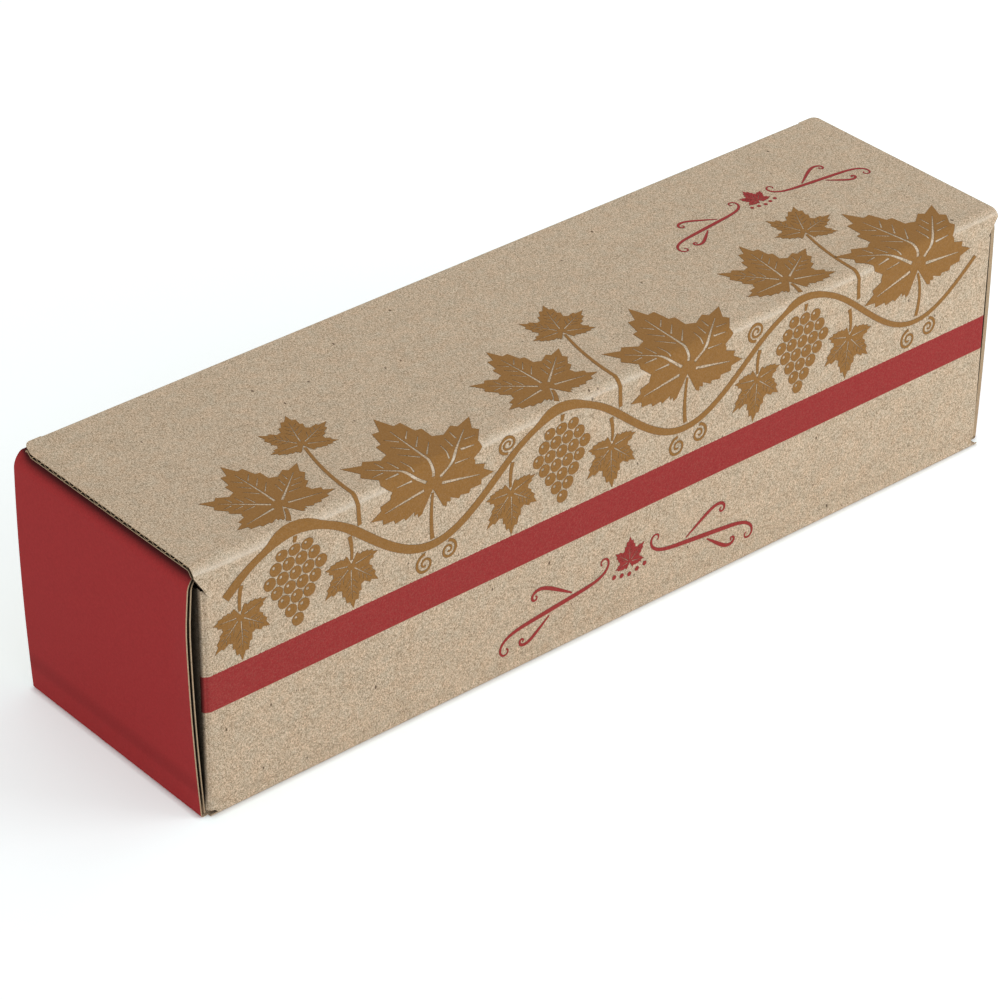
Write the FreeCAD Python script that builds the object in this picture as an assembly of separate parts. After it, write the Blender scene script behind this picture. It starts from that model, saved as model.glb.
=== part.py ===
import FreeCAD, Part
import math
import os

# A gift box for one bottle, folded from one die-cut sheet of fluted board and shown closed.
# Millimetres. The origin is the middle of the underside, +X runs along the box, -Y points out of the
# wall that the lid hinges on, and +Z points up. The flutes run along X where the sheet lies flat.

# The closed box, outside
lid_length = 340.0
box_depth = 92.0
box_height = 92.0

# The sheet: two liners and a fluted medium, crushed solid at each crease
board_thickness = 1.7
liner_thickness = 0.25
medium_thickness = 0.22
flute_pitch = 4.3
channel_wide_share = 0.75
channel_narrow_share = 0.21
crease_inner_radius = 0.4

# Room that the cutting die leaves
layer_gap = 0.3
corner_relief = 0.3
wall_corner_cut = 1.5

# Lid: its raw ends reach just past the foot of the end walls, and shoulders carry them down at the hinge
lid_overhang = 0.5
lid_corner_radius = 2.5
shoulder_drop = 7.0

# Wall that the lid tucks behind: how far its raw top edge stays below the lid's top
tuck_wall_drop = 3.2

# Dust flaps, two at each end, which nearly meet in the middle
dust_flap_space = 6.0
dust_flap_taper = 2.0
dust_flap_corner_radius = 5.0

# End walls, which lean out from the foot and roll over at the top, with tabs inside that lock into the base
end_wall_lean = 2.0
rollover_radius = 4.0
rollover_leg = 0.5
lock_tab_width = 16.0
lock_tab_spacing = 44.0
lock_tab_corner_cut = 0.8
slot_gap = 0.2

# Tuck flap and its two ears, whose outline is given as shares of the flap's and the ear's length
tuck_flap_length = 24.0
tuck_flap_corner_radius = 1.2
swing_gap = 0.45
ear_length = 18.0
ear_tip_radius = 2.0
ear_root_top_share = 0.38
ear_tip_top_share = 0.76
ear_foot_share = 0.94

# Room past a face for a cut
overrun = 1.0

# Places worked out from the sizes
crease_outer_radius = crease_inner_radius + board_thickness
layer_step = board_thickness + layer_gap
lid_half_length = lid_length / 2
half_depth = box_depth / 2
end_outer_x = lid_half_length - lid_overhang
dust_flap_x = end_outer_x - layer_step
end_inner_x = dust_flap_x - layer_step
clear_end_x = end_inner_x - board_thickness
ear_outer_x = clear_end_x - layer_gap
base_half_length = end_outer_x - crease_outer_radius
base_half_depth = half_depth - crease_outer_radius
wall_half_length = dust_flap_x - crease_outer_radius
end_half_width = base_half_depth - corner_relief
wall_foot = crease_outer_radius
hinge_wall_top = box_height - crease_outer_radius
shoulder_foot = hinge_wall_top - shoulder_drop
tuck_wall_top = box_height - tuck_wall_drop
flap_foot = wall_foot + wall_corner_cut
ledge_top = box_height - board_thickness - layer_gap
end_wall_top = ledge_top - rollover_radius - rollover_leg
inner_wall_foot = board_thickness + layer_gap
tuck_outer_y = half_depth - board_thickness - layer_gap
tuck_fold_y = tuck_outer_y - crease_outer_radius
tuck_fold_z = box_height - crease_outer_radius
tuck_half_length = ear_outer_x - crease_outer_radius
hinge_y = -half_depth + crease_outer_radius / 2
hinge_z = box_height - crease_outer_radius / 2

along_x = FreeCAD.Vector(1, 0, 0)
along_y = FreeCAD.Vector(0, 1, 0)
along_z = FreeCAD.Vector(0, 0, 1)
middle = FreeCAD.Vector(0, 0, 0)


def tuck_flap_lean():
    """Degrees that the tucked flap leans inwards, so that its free edge swings up clear of the wall."""
    reach = tuck_fold_y - hinge_y
    drop = hinge_z - tuck_fold_z
    swing = half_depth - board_thickness - swing_gap - hinge_y
    cosine_part = 2 * (reach * crease_outer_radius + drop * tuck_flap_length)
    sine_part = 2 * (drop * crease_outer_radius - reach * tuck_flap_length)
    squares = reach**2 + drop**2 + crease_outer_radius**2 + tuck_flap_length**2
    whole = math.hypot(cosine_part, sine_part)
    lean = math.atan2(sine_part, cosine_part) + math.acos((swing**2 - squares) / whole)
    return math.degrees(lean)


def rounded_wire(corners):
    """Closed outline through corners (x, y, radius), with an arc where the radius isn't zero."""
    points = [FreeCAD.Vector(x, y, 0) for x, y, radius in corners]
    ends = []
    for number, (x, y, radius) in enumerate(corners):
        corner = points[number]
        back = (points[number - 1] - corner).normalize()
        ahead = (points[(number + 1) % len(points)] - corner).normalize()
        if radius == 0:
            ends.append([corner])
            continue
        half_angle = back.getAngle(ahead) / 2
        inwards = (back + ahead).normalize()
        along = radius / math.tan(half_angle)
        to_arc = radius / math.sin(half_angle) - radius
        ends.append([corner + back * along, corner + inwards * to_arc, corner + ahead * along])
    edges = []
    for number, end in enumerate(ends):
        if len(end) > 1:
            edges.append(Part.Arc(*end).toShape())
        following = ends[(number + 1) % len(ends)]
        edges.append(Part.LineSegment(end[-1], following[0]).toShape())
    return Part.Wire(edges)


def placed(shape, origin, x_side, y_side):
    """The shape moved so that its own X and Y run along the given sides."""
    turn = FreeCAD.Rotation(x_side, y_side, x_side.cross(y_side), "XYZ")
    moved = shape.copy()
    moved.Placement = FreeCAD.Placement(origin, turn)
    return moved


def fluted_slab(low_x, high_x, low_y, high_y):
    """Board with its flutes along X: two liners and the medium between them, open at the raw edges."""
    width = high_y - low_y
    count = max(1, round(width / flute_pitch))
    pitch = width / count
    wide = channel_wide_share * pitch / 2
    narrow = channel_narrow_share * pitch / 2
    floor = liner_thickness
    roof = board_thickness - liner_thickness
    trough = floor + medium_thickness
    crest = roof - medium_thickness

    def wire(points):
        vectors = [FreeCAD.Vector(low_x, low_y + y, z) for y, z in points]
        return Part.makePolygon(vectors + vectors[:1])

    outer = [(0, 0), (width, 0), (width, trough), (width - narrow, trough), (width - wide, roof)]
    outer += [(width, roof), (width, board_thickness), (0, board_thickness), (0, roof)]
    outer += [(wide, roof), (narrow, trough), (0, trough)]
    wires = [wire(outer)]
    for number in range(count):
        y = (number + 0.5) * pitch
        wires.append(wire([(y - wide, floor), (y + wide, floor), (y + narrow, crest), (y - narrow, crest)]))
    for number in range(1, count):
        y = number * pitch
        wires.append(wire([(y - narrow, trough), (y + narrow, trough), (y + wide, roof), (y - wide, roof)]))
    section = Part.makeFace(wires, "Part::FaceMakerBullseye")
    return section.extrude(along_x * (high_x - low_x))


def panel(corners):
    """Piece of board cut to an outline, with its flutes along X and its thickness up from zero."""
    across = [x for x, y, radius in corners]
    up = [y for x, y, radius in corners]
    slab = fluted_slab(min(across), max(across), min(up), max(up))
    outline = Part.Face(rounded_wire(corners))
    return slab.common(outline.extrude(along_z * board_thickness))


def rectangle(low_x, high_x, low_y, high_y):
    """Piece of board with four square corners."""
    return fluted_slab(low_x, high_x, low_y, high_y)


def fold(start, end, first_side, degrees):
    """Crease between two panels: crushed board bent round the line from start to end."""
    near = first_side * crease_inner_radius
    far = first_side * crease_outer_radius
    corners = [start + near, end + near, end + far, start + far, start + near]
    strip = Part.Face(Part.makePolygon(corners))
    return strip.revolve(start, end - start, degrees)


def lengthwise_fold(half_length, y, z, first_side, degrees):
    """Crease that runs along the box."""
    start = FreeCAD.Vector(-half_length, y, z)
    end = FreeCAD.Vector(half_length, y, z)
    return fold(start, end, first_side, degrees)


def upright_fold(x, y, low_z, high_z, first_side, degrees):
    """Crease that runs up a corner of the box."""
    start = FreeCAD.Vector(x, y, low_z)
    end = FreeCAD.Vector(x, y, high_z)
    return fold(start, end, first_side, degrees)


def crosswise_fold(x, z, first_side, degrees):
    """Crease that runs across the box, as wide as an end wall."""
    start = FreeCAD.Vector(x, -end_half_width, z)
    end = FreeCAD.Vector(x, end_half_width, z)
    return fold(start, end, first_side, degrees)


def lock_tab_places():
    """Y of the middle of each lock tab of an end wall, from the far one to the near one."""
    return [lock_tab_spacing / 2, -lock_tab_spacing / 2]


def base_panel():
    """Base, with a slot for each lock tab of the end walls."""
    base = rectangle(-base_half_length, base_half_length, -base_half_depth, base_half_depth)
    slot_width = lock_tab_width + 2 * slot_gap
    slot_depth = board_thickness + 2 * slot_gap
    slot_height = board_thickness + 2 * overrun
    for inner_face_x in (-end_inner_x, clear_end_x):
        for y in lock_tab_places():
            corner = FreeCAD.Vector(inner_face_x - slot_gap, y - slot_width / 2, -overrun)
            base = base.cut(Part.makeBox(slot_depth, slot_width, slot_height, corner))
    return base


def hinge_wall():
    """Wall that carries the lid, with cut lower corners and shoulders that widen to the lid's length."""
    foot_half = wall_half_length - wall_corner_cut
    corners = [
        (-foot_half, wall_foot, 0),
        (foot_half, wall_foot, 0),
        (wall_half_length, flap_foot, 0),
        (wall_half_length, shoulder_foot, 0),
        (lid_half_length, hinge_wall_top, 0),
        (-lid_half_length, hinge_wall_top, 0),
        (-wall_half_length, shoulder_foot, 0),
        (-wall_half_length, flap_foot, 0),
    ]
    inner_face = FreeCAD.Vector(0, -half_depth + board_thickness, 0)
    return placed(panel(corners), inner_face, along_x, along_z)


def tuck_wall():
    """Wall that the lid's flap tucks behind, with all four corners cut."""
    foot_half = wall_half_length - wall_corner_cut
    flap_top = tuck_wall_top - wall_corner_cut
    corners = [
        (-foot_half, wall_foot, 0),
        (foot_half, wall_foot, 0),
        (wall_half_length, flap_foot, 0),
        (wall_half_length, flap_top, 0),
        (foot_half, tuck_wall_top, 0),
        (-foot_half, tuck_wall_top, 0),
        (-wall_half_length, flap_top, 0),
        (-wall_half_length, flap_foot, 0),
    ]
    outer_face = FreeCAD.Vector(0, half_depth, 0)
    return placed(panel(corners), outer_face, along_x, along_z)


def dust_flap(top):
    """Flap of the hinge wall at the left end, tapered and rounded towards its free edge."""
    free_y = -dust_flap_space / 2
    corners = [
        (-base_half_depth, flap_foot, 0),
        (free_y, flap_foot + dust_flap_taper, dust_flap_corner_radius),
        (free_y, top - dust_flap_taper, dust_flap_corner_radius),
        (-base_half_depth, top, 0),
    ]
    outer_face = FreeCAD.Vector(-dust_flap_x, 0, 0)
    return placed(panel(corners), outer_face, along_y, along_z)


def end_wall():
    """Outer panel of the left end wall, with its flutes upright, leaned out about its lower crease."""
    wall = rectangle(wall_foot, end_wall_top, -end_half_width, end_half_width)
    inner_face = FreeCAD.Vector(-end_outer_x + board_thickness, 0, 0)
    upright = placed(wall, inner_face, along_z, along_y)
    upright.rotate(FreeCAD.Vector(-base_half_length, 0, wall_foot), along_y, -end_wall_lean)
    return upright


def leaning_x(inset, z):
    """X at a height of the left end wall's leaning plane, inset from its outer face."""
    lean = math.radians(end_wall_lean)
    out = (crease_outer_radius - inset) / math.cos(lean) + (z - wall_foot) * math.tan(lean)
    return -base_half_length - out


def leaning_top(inset):
    """Top of the left end wall's leaning panel, at an inset from its outer face."""
    lean = math.radians(end_wall_lean)
    across = crease_outer_radius - inset
    up = end_wall_top - wall_foot
    x = -base_half_length - across * math.cos(lean) - up * math.sin(lean)
    return x, wall_foot - across * math.sin(lean) + up * math.cos(lean)


def end_rollover():
    """Double crease over the top of the left end wall, which leaves room inside for the dust flaps."""
    ledge_foot = ledge_top - board_thickness
    corners = [
        (*leaning_top(0), 0),
        (leaning_x(0, ledge_top), ledge_top, rollover_radius),
        (-clear_end_x, ledge_top, crease_outer_radius),
        (-clear_end_x, end_wall_top, 0),
        (-clear_end_x - board_thickness, end_wall_top, 0),
        (-clear_end_x - board_thickness, ledge_foot, crease_inner_radius),
        (leaning_x(board_thickness, ledge_foot), ledge_foot, rollover_radius - board_thickness),
        (*leaning_top(board_thickness), 0),
    ]
    section = Part.Face(rounded_wire(corners))
    strip = section.extrude(along_z * (2 * end_half_width))
    return placed(strip, FreeCAD.Vector(0, end_half_width, 0), along_x, along_z)


def end_inner_wall():
    """Inner panel of the left end wall, with lock tabs that stand in the slots of the base."""
    tab_foot = inner_wall_foot - board_thickness
    tab_half = lock_tab_width / 2
    corners = [(end_wall_top, -end_half_width, 0), (end_wall_top, end_half_width, 0)]
    corners.append((inner_wall_foot, end_half_width, 0))
    for y in lock_tab_places():
        corners.append((inner_wall_foot, y + tab_half, 0))
        corners.append((tab_foot + lock_tab_corner_cut, y + tab_half, 0))
        corners.append((tab_foot, y + tab_half - lock_tab_corner_cut, 0))
        corners.append((tab_foot, y - tab_half + lock_tab_corner_cut, 0))
        corners.append((tab_foot + lock_tab_corner_cut, y - tab_half, 0))
        corners.append((inner_wall_foot, y - tab_half, 0))
    corners.append((inner_wall_foot, -end_half_width, 0))
    inner_face = FreeCAD.Vector(-clear_end_x, 0, 0)
    return placed(panel(corners), inner_face, along_z, along_y)


def lid_panel():
    """Lid, square at its hinge and rounded at its two far corners."""
    corners = [
        (-lid_half_length, -base_half_depth, 0),
        (lid_half_length, -base_half_depth, 0),
        (lid_half_length, tuck_fold_y, lid_corner_radius),
        (-lid_half_length, tuck_fold_y, lid_corner_radius),
    ]
    underside = FreeCAD.Vector(0, 0, box_height - board_thickness)
    return placed(panel(corners), underside, along_x, along_y)


def leaned(shape):
    """A piece of the tuck flap, modelled hanging straight down, turned in by the flap's lean."""
    turned = shape.copy()
    turned.rotate(FreeCAD.Vector(0, tuck_fold_y, tuck_fold_z), along_x, -tuck_flap_lean())
    return turned


def tuck_flap():
    """Flap at the lid's far edge."""
    free_z = tuck_fold_z - tuck_flap_length
    corners = [
        (-tuck_half_length, free_z, tuck_flap_corner_radius),
        (tuck_half_length, free_z, tuck_flap_corner_radius),
        (tuck_half_length, tuck_fold_z, 0),
        (-tuck_half_length, tuck_fold_z, 0),
    ]
    outer_face = FreeCAD.Vector(0, tuck_outer_y, 0)
    return leaned(placed(panel(corners), outer_face, along_x, along_z))


def ear_heights():
    """Z of the top of the ear's root, of the top of its tip and of its foot, before the lean."""
    shares = (ear_root_top_share, ear_tip_top_share, ear_foot_share)
    return [tuck_fold_z - share * tuck_flap_length for share in shares]


def ear():
    """Ear at the left end of the tuck flap, which lies along the inside of the end wall."""
    root_top, tip_top, foot = ear_heights()
    tip_y = tuck_fold_y - ear_length
    corners = [
        (tip_y, foot, ear_tip_radius),
        (tuck_fold_y, foot, 0),
        (tuck_fold_y, root_top, 0),
        (tip_y, tip_top, ear_tip_radius),
    ]
    outer_face = FreeCAD.Vector(-ear_outer_x, 0, 0)
    return leaned(placed(panel(corners), outer_face, along_y, along_z))


def ear_crease():
    """Crease between the tuck flap and its left ear."""
    root_top, tip_top, foot = ear_heights()
    return leaned(upright_fold(-tuck_half_length, tuck_fold_y, foot, root_top, along_y, 90))


def end_pieces():
    """Every piece at the left end, by name."""
    hinge_flap_crease = upright_fold(
        -wall_half_length, -base_half_depth, flap_foot, shoulder_foot, -along_x, 90
    )
    flap_top = tuck_wall_top - wall_corner_cut
    tuck_flap_crease = upright_fold(-wall_half_length, base_half_depth, flap_foot, flap_top, along_y, 90)
    return {
        "end_crease": crosswise_fold(-base_half_length, crease_outer_radius, -along_z, 90 - end_wall_lean),
        "end_wall": end_wall(),
        "end_rollover": end_rollover(),
        "end_inner_wall": end_inner_wall(),
        "hinge_dust_flap_crease": hinge_flap_crease,
        "hinge_dust_flap": dust_flap(shoulder_foot),
        "tuck_dust_flap_crease": tuck_flap_crease,
        "tuck_dust_flap": dust_flap(flap_top).mirror(middle, along_y),
        "tuck_ear_crease": ear_crease(),
        "tuck_ear": ear(),
    }


def long_pieces():
    """Every piece that runs the length of the box, by name."""
    foot_half = wall_half_length - wall_corner_cut
    lean = tuck_flap_lean()
    return {
        "base_panel": base_panel(),
        "hinge_wall_crease": lengthwise_fold(foot_half, -base_half_depth, crease_outer_radius, -along_z, -90),
        "hinge_wall": hinge_wall(),
        "tuck_wall_crease": lengthwise_fold(foot_half, base_half_depth, crease_outer_radius, -along_z, 90),
        "tuck_wall": tuck_wall(),
        "lid_hinge_crease": lengthwise_fold(lid_half_length, -base_half_depth, hinge_wall_top, along_z, 90),
        "lid_panel": lid_panel(),
        "tuck_crease": lengthwise_fold(tuck_half_length, tuck_fold_y, tuck_fold_z, along_z, -90 - lean),
        "tuck_flap": tuck_flap(),
    }


def all_pieces():
    """Every piece of the box, by name: the right end mirrors the left one."""
    pieces = long_pieces()
    for name, shape in end_pieces().items():
        pieces["left_" + name] = shape
        pieces["right_" + name] = shape.mirror(middle, along_x)
    return pieces


os.makedirs("parts", exist_ok=True)
for name, shape in all_pieces().items():
    shape.exportStep("parts/" + name + ".step")
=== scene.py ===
import cmath
import math

import bmesh
import bpy
from bpy.props import FloatProperty, FloatVectorProperty, IntProperty, PointerProperty
from mathutils import Matrix, Vector


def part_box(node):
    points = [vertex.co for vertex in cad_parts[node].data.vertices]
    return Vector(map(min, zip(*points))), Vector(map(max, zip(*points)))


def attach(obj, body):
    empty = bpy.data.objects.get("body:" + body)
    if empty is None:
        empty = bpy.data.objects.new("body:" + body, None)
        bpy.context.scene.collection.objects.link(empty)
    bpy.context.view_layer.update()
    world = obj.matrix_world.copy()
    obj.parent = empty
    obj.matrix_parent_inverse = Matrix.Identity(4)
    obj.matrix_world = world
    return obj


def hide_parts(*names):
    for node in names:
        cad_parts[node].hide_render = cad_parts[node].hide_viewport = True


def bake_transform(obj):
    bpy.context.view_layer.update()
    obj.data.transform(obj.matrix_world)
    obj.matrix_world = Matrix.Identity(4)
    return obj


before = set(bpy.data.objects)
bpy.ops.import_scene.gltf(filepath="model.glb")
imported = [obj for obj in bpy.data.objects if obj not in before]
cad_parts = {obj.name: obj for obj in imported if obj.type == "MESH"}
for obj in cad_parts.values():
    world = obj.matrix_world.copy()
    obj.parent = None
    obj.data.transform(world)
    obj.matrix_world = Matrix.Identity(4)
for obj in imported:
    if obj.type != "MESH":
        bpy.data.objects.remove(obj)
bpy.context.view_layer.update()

bl_info = {
    "name": "Bottle gift box",
    "version": (1, 0, 0),
    "blender": (4, 5, 0),
    "location": "3D View > Sidebar > Gift box",
    "description": "Dresses a folded gift box for one bottle: fluted board, ink, a vine print and a studio",
    "category": "Object",
}

# Where the folded board lies, in metres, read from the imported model
LID_LOW, LID_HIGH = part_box("lid_panel")
TUCK_LOW, TUCK_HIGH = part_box("tuck_wall")
LEDGE_LOW, LEDGE_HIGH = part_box("left_end_rollover")
HINGE_FOLD_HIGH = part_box("left_hinge_dust_flap_crease")[1]
TUCK_FOLD_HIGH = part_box("left_tuck_dust_flap_crease")[1]
BASE_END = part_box("base_panel")[1].x
END_FACE = -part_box("left_end_crease")[0].x
HALF_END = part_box("left_end_wall")[1].y
HALF_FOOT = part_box("hinge_wall_crease")[1].x
HALF_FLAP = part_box("tuck_crease")[1].x
HALF_WALL = -HINGE_FOLD_HIGH.x
HALF_DEPTH = TUCK_HIGH.y
HALF_LID = LID_HIGH.x
SHOULDER = HINGE_FOLD_HIGH.z
TOP = LID_HIGH.z
BOARD = LID_HIGH.z - LID_LOW.z
FOLD_RADIUS = LID_LOW.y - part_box("hinge_wall")[0].y

X_AXIS = Vector((1, 0, 0))
Y_AXIS = Vector((0, 1, 0))
Z_AXIS = Vector((0, 0, 1))
QUARTER = math.pi / 2

# Two points closer than this are the same place
TOUCH = 2e-6

# Folds that turn more than this between two faces are left sharp
SHARP_TURN = math.radians(38)

# How far the fluted paper stays back from the lid's rounded and slanted corners
FLUTE_GAP = 0.0004

# Places along the box where the lid's crease may change its height
CREASE_COLUMNS = (-0.167, -0.162, -0.157, -0.15, -0.12, -0.08, -0.04, 0, 0.04, 0.08, 0.12, 0.15, 0.162)

# Facets of the tight bend where the lid's crease leaves the wall
BEND_STEPS = 5

# Lobes of a vine leaf: degrees from its tip, reach as a share of its length, and half width in degrees
LEAF_LOBES = ((0, 1.0, 34), (50, 0.86, 30), (100, 0.66, 34))

# Steps along a pen stroke of a flourish
SCROLL_STEPS = 240

# Grapes in each row of a bunch, from the top
BUNCH_ROWS = (3, 4, 5, 4, 3, 2, 1)


def linear(colour):
    """sRGB hex as the linear colour that a shader takes."""
    shares = [int(colour[start:start + 2], 16) / 255 for start in (1, 3, 5)]
    return [c / 12.92 if c <= 0.04045 else ((c + 0.055) / 1.055) ** 2.4 for c in shares]


class BoardSettings(bpy.types.PropertyGroup):
    """Sizes of the fluted board and of its folds."""

    liner: FloatProperty(
        name="Liner", description="Thickness of each face paper of the board",
        default=0.00025, unit="LENGTH", precision=5)
    medium: FloatProperty(
        name="Medium", description="Thickness of the fluted paper between the liners",
        default=0.0003, unit="LENGTH", precision=5)
    flute_pitch: FloatProperty(
        name="Flute pitch", description="Distance from one flute to the next",
        default=0.0043, unit="LENGTH", precision=5)
    flute_steps: IntProperty(
        name="Flute steps", description="Facets in one wave of the fluted paper", default=10)
    fold_steps: IntProperty(
        name="Fold steps", description="Facets round each fold", default=14)
    corner_radius: FloatProperty(
        name="Lid corner radius", description="Rounding of the lid's two far corners",
        default=0.0025, unit="LENGTH")
    corner_steps: IntProperty(
        name="Corner steps", description="Facets round each corner of the lid", default=8)
    corner_reach: FloatProperty(
        name="Corner reach", description="How far the lid's far corners reach past the tuck crease",
        default=0.0011, unit="LENGTH", precision=5)
    corner_slant: FloatVectorProperty(
        name="Corner slant",
        description="How far the lid's far left corner is cut in, and over what length",
        default=(0.0021, 0.0052), unit="LENGTH", precision=5, size=2)
    left_end_out: FloatVectorProperty(
        name="Left end", description="How far the left end wall stands out at its foot, middle and top",
        default=(0.0002, 0.0019, 0.0019), unit="LENGTH", precision=5, size=3)
    right_end_out: FloatVectorProperty(
        name="Right end", description="How far the right end wall stands out at its foot, middle and top",
        default=(0.0007, 0.0016, 0.0012), unit="LENGTH", precision=5, size=3)
    end_spread: FloatProperty(
        name="End spread",
        description="How much wider each end wall is, at each side, than its packed width",
        default=0.0007, unit="LENGTH", precision=5)
    edge_flare: FloatProperty(
        name="Edge flare",
        description="How much further the left end wall's near edge stands out at its top",
        default=0.0013, unit="LENGTH", precision=5)
    flare_reach: FloatProperty(
        name="Flare reach", description="Width of the strip along that edge that stands out",
        default=0.012, unit="LENGTH")
    roll_radius: FloatProperty(
        name="Roll radius", description="Radius of the bend by which an end wall leans in under the lid",
        default=0.007, unit="LENGTH")
    roll_turn: FloatProperty(
        name="Roll turn", description="Turn of that bend", default=math.radians(50), subtype="ANGLE")
    roll_tip: FloatProperty(
        name="Roll tip", description="Radius of the tighter bend that follows it, on to the ledge",
        default=0.0019, unit="LENGTH", precision=5)
    ledge_drop: FloatProperty(
        name="Ledge drop", description="Height of the dark gap between the end walls' ledges and the lid",
        default=0.0008, unit="LENGTH", precision=5)
    foot_radius: FloatProperty(
        name="Foot radius", description="Rounding of the folds between the walls and the base",
        default=0.0009, unit="LENGTH", precision=5)
    foot_flare: FloatProperty(
        name="Foot flare", description="How far the front wall's foot stands out at its right end",
        default=0.0015, unit="LENGTH", precision=5)
    flare_top: FloatProperty(
        name="Flare top", description="Height up to which the front wall's foot flares",
        default=0.005, unit="LENGTH")
    foot_cut: FloatProperty(
        name="Foot cut", description="Size of the cut at the lower corners of the long walls",
        default=0.0013, unit="LENGTH", precision=5)
    end_liner: FloatProperty(
        name="End liner", description="Thickness that the frayed face papers of the end walls seem to have",
        default=0.00042, unit="LENGTH", precision=5)
    edge_hollow: FloatProperty(
        name="Edge hollow",
        description="How far the fluted paper stays back from a raw edge along the flutes",
        default=0.006, unit="LENGTH")
    left_wall_stretch: FloatProperty(
        name="Left wall end", description="How far the front wall runs past its packed length at the left",
        default=0.0003, unit="LENGTH", precision=5)
    left_wall_lean: FloatProperty(
        name="Left wall lean", description="How far the front wall's left end leans in at its top",
        default=0.0008, unit="LENGTH", precision=5)
    shoulder_drop: FloatProperty(
        name="Left shoulder",
        description="How much lower the front wall's left shoulder is cut than its right one",
        default=0.003, unit="LENGTH")
    right_wall_stretch: FloatProperty(
        name="Right wall end",
        description="How far the front wall runs past its packed length at the right",
        default=0.0007, unit="LENGTH", precision=5)
    end_rows: IntProperty(
        name="End rows", description="Rows of faces up each end wall, which take its bow", default=16)
    bend_radius: FloatProperty(
        name="Lid bend", description="Radius of the tight bend where the lid's crease leaves the wall",
        default=0.0019, unit="LENGTH", precision=5)
    bend_turn: FloatProperty(
        name="Lid bend turn", description="Turn of the tight bend",
        default=math.radians(38), subtype="ANGLE")
    slope_radius: FloatProperty(
        name="Lid slope", description="Radius of the soft slope from the tight bend up to the lid",
        default=0.0036, unit="LENGTH", precision=5)
    sag_tilt: FloatProperty(
        name="Crease tilt", description="Fall of the lid's crease per length, from right to left",
        default=0.0042)
    sag_rise: FloatProperty(
        name="Crease rise", description="How far the crease rises at the left end",
        default=0.0007, unit="LENGTH", precision=5)
    flap_lean: FloatProperty(
        name="Flap lean", description="Angle that the tucked flap leans in by",
        default=math.radians(8.967), subtype="ANGLE")
    ear_foot: FloatProperty(
        name="Ear foot", description="Height of the ears' lower edge, before the lean",
        default=0.06734, unit="LENGTH", precision=5)
    ear_top: FloatProperty(
        name="Ear root", description="Height of the ears' upper edge at their crease, before the lean",
        default=0.08078, unit="LENGTH", precision=5)


class InkSettings(bpy.types.PropertyGroup):
    """Colours of the board and inks, and the place of the band."""

    kraft_dark: FloatVectorProperty(
        name="Dark kraft", description="Colour of the darkest fibres of the recycled paper",
        default=linear("#7C694F"), subtype="COLOR", size=3)
    kraft_pale: FloatVectorProperty(
        name="Pale kraft", description="Colour of the palest fibres of the recycled paper",
        default=linear("#EBD5BA"), subtype="COLOR", size=3)
    kraft_light: FloatVectorProperty(
        name="Bleached fibre", description="Colour of the bleached flecks and of rubbed folds",
        default=linear("#E3D6C4"), subtype="COLOR", size=3)
    speck: FloatVectorProperty(
        name="Bark speck", description="Colour of the bark specks in the paper",
        default=linear("#4E3B2A"), subtype="COLOR", size=3)
    cut_edge: FloatVectorProperty(
        name="Cut edge", description="Colour of the board where the die cut it",
        default=linear("#A98F6F"), subtype="COLOR", size=3)
    medium: FloatVectorProperty(
        name="Fluted paper", description="Colour of the fluted paper between the liners",
        default=linear("#A38B6C"), subtype="COLOR", size=3)
    red: FloatVectorProperty(
        name="Red ink", description="Ink of the ends",
        default=linear("#9C292B"), subtype="COLOR", size=3)
    band: FloatVectorProperty(
        name="Band ink", description="Thinner red ink of the band and of the flourishes",
        default=linear("#972E2F"), subtype="COLOR", size=3)
    ochre: FloatVectorProperty(
        name="Ochre ink", description="Ink of the vine print",
        default=linear("#8F6531"), subtype="COLOR", size=3)
    band_foot: FloatProperty(
        name="Band foot", description="Height of the red band's lower edge",
        default=0.03879, unit="LENGTH", precision=5)
    band_width: FloatProperty(
        name="Band width", description="Width of the red band",
        default=0.0131, unit="LENGTH", precision=5)


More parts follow.
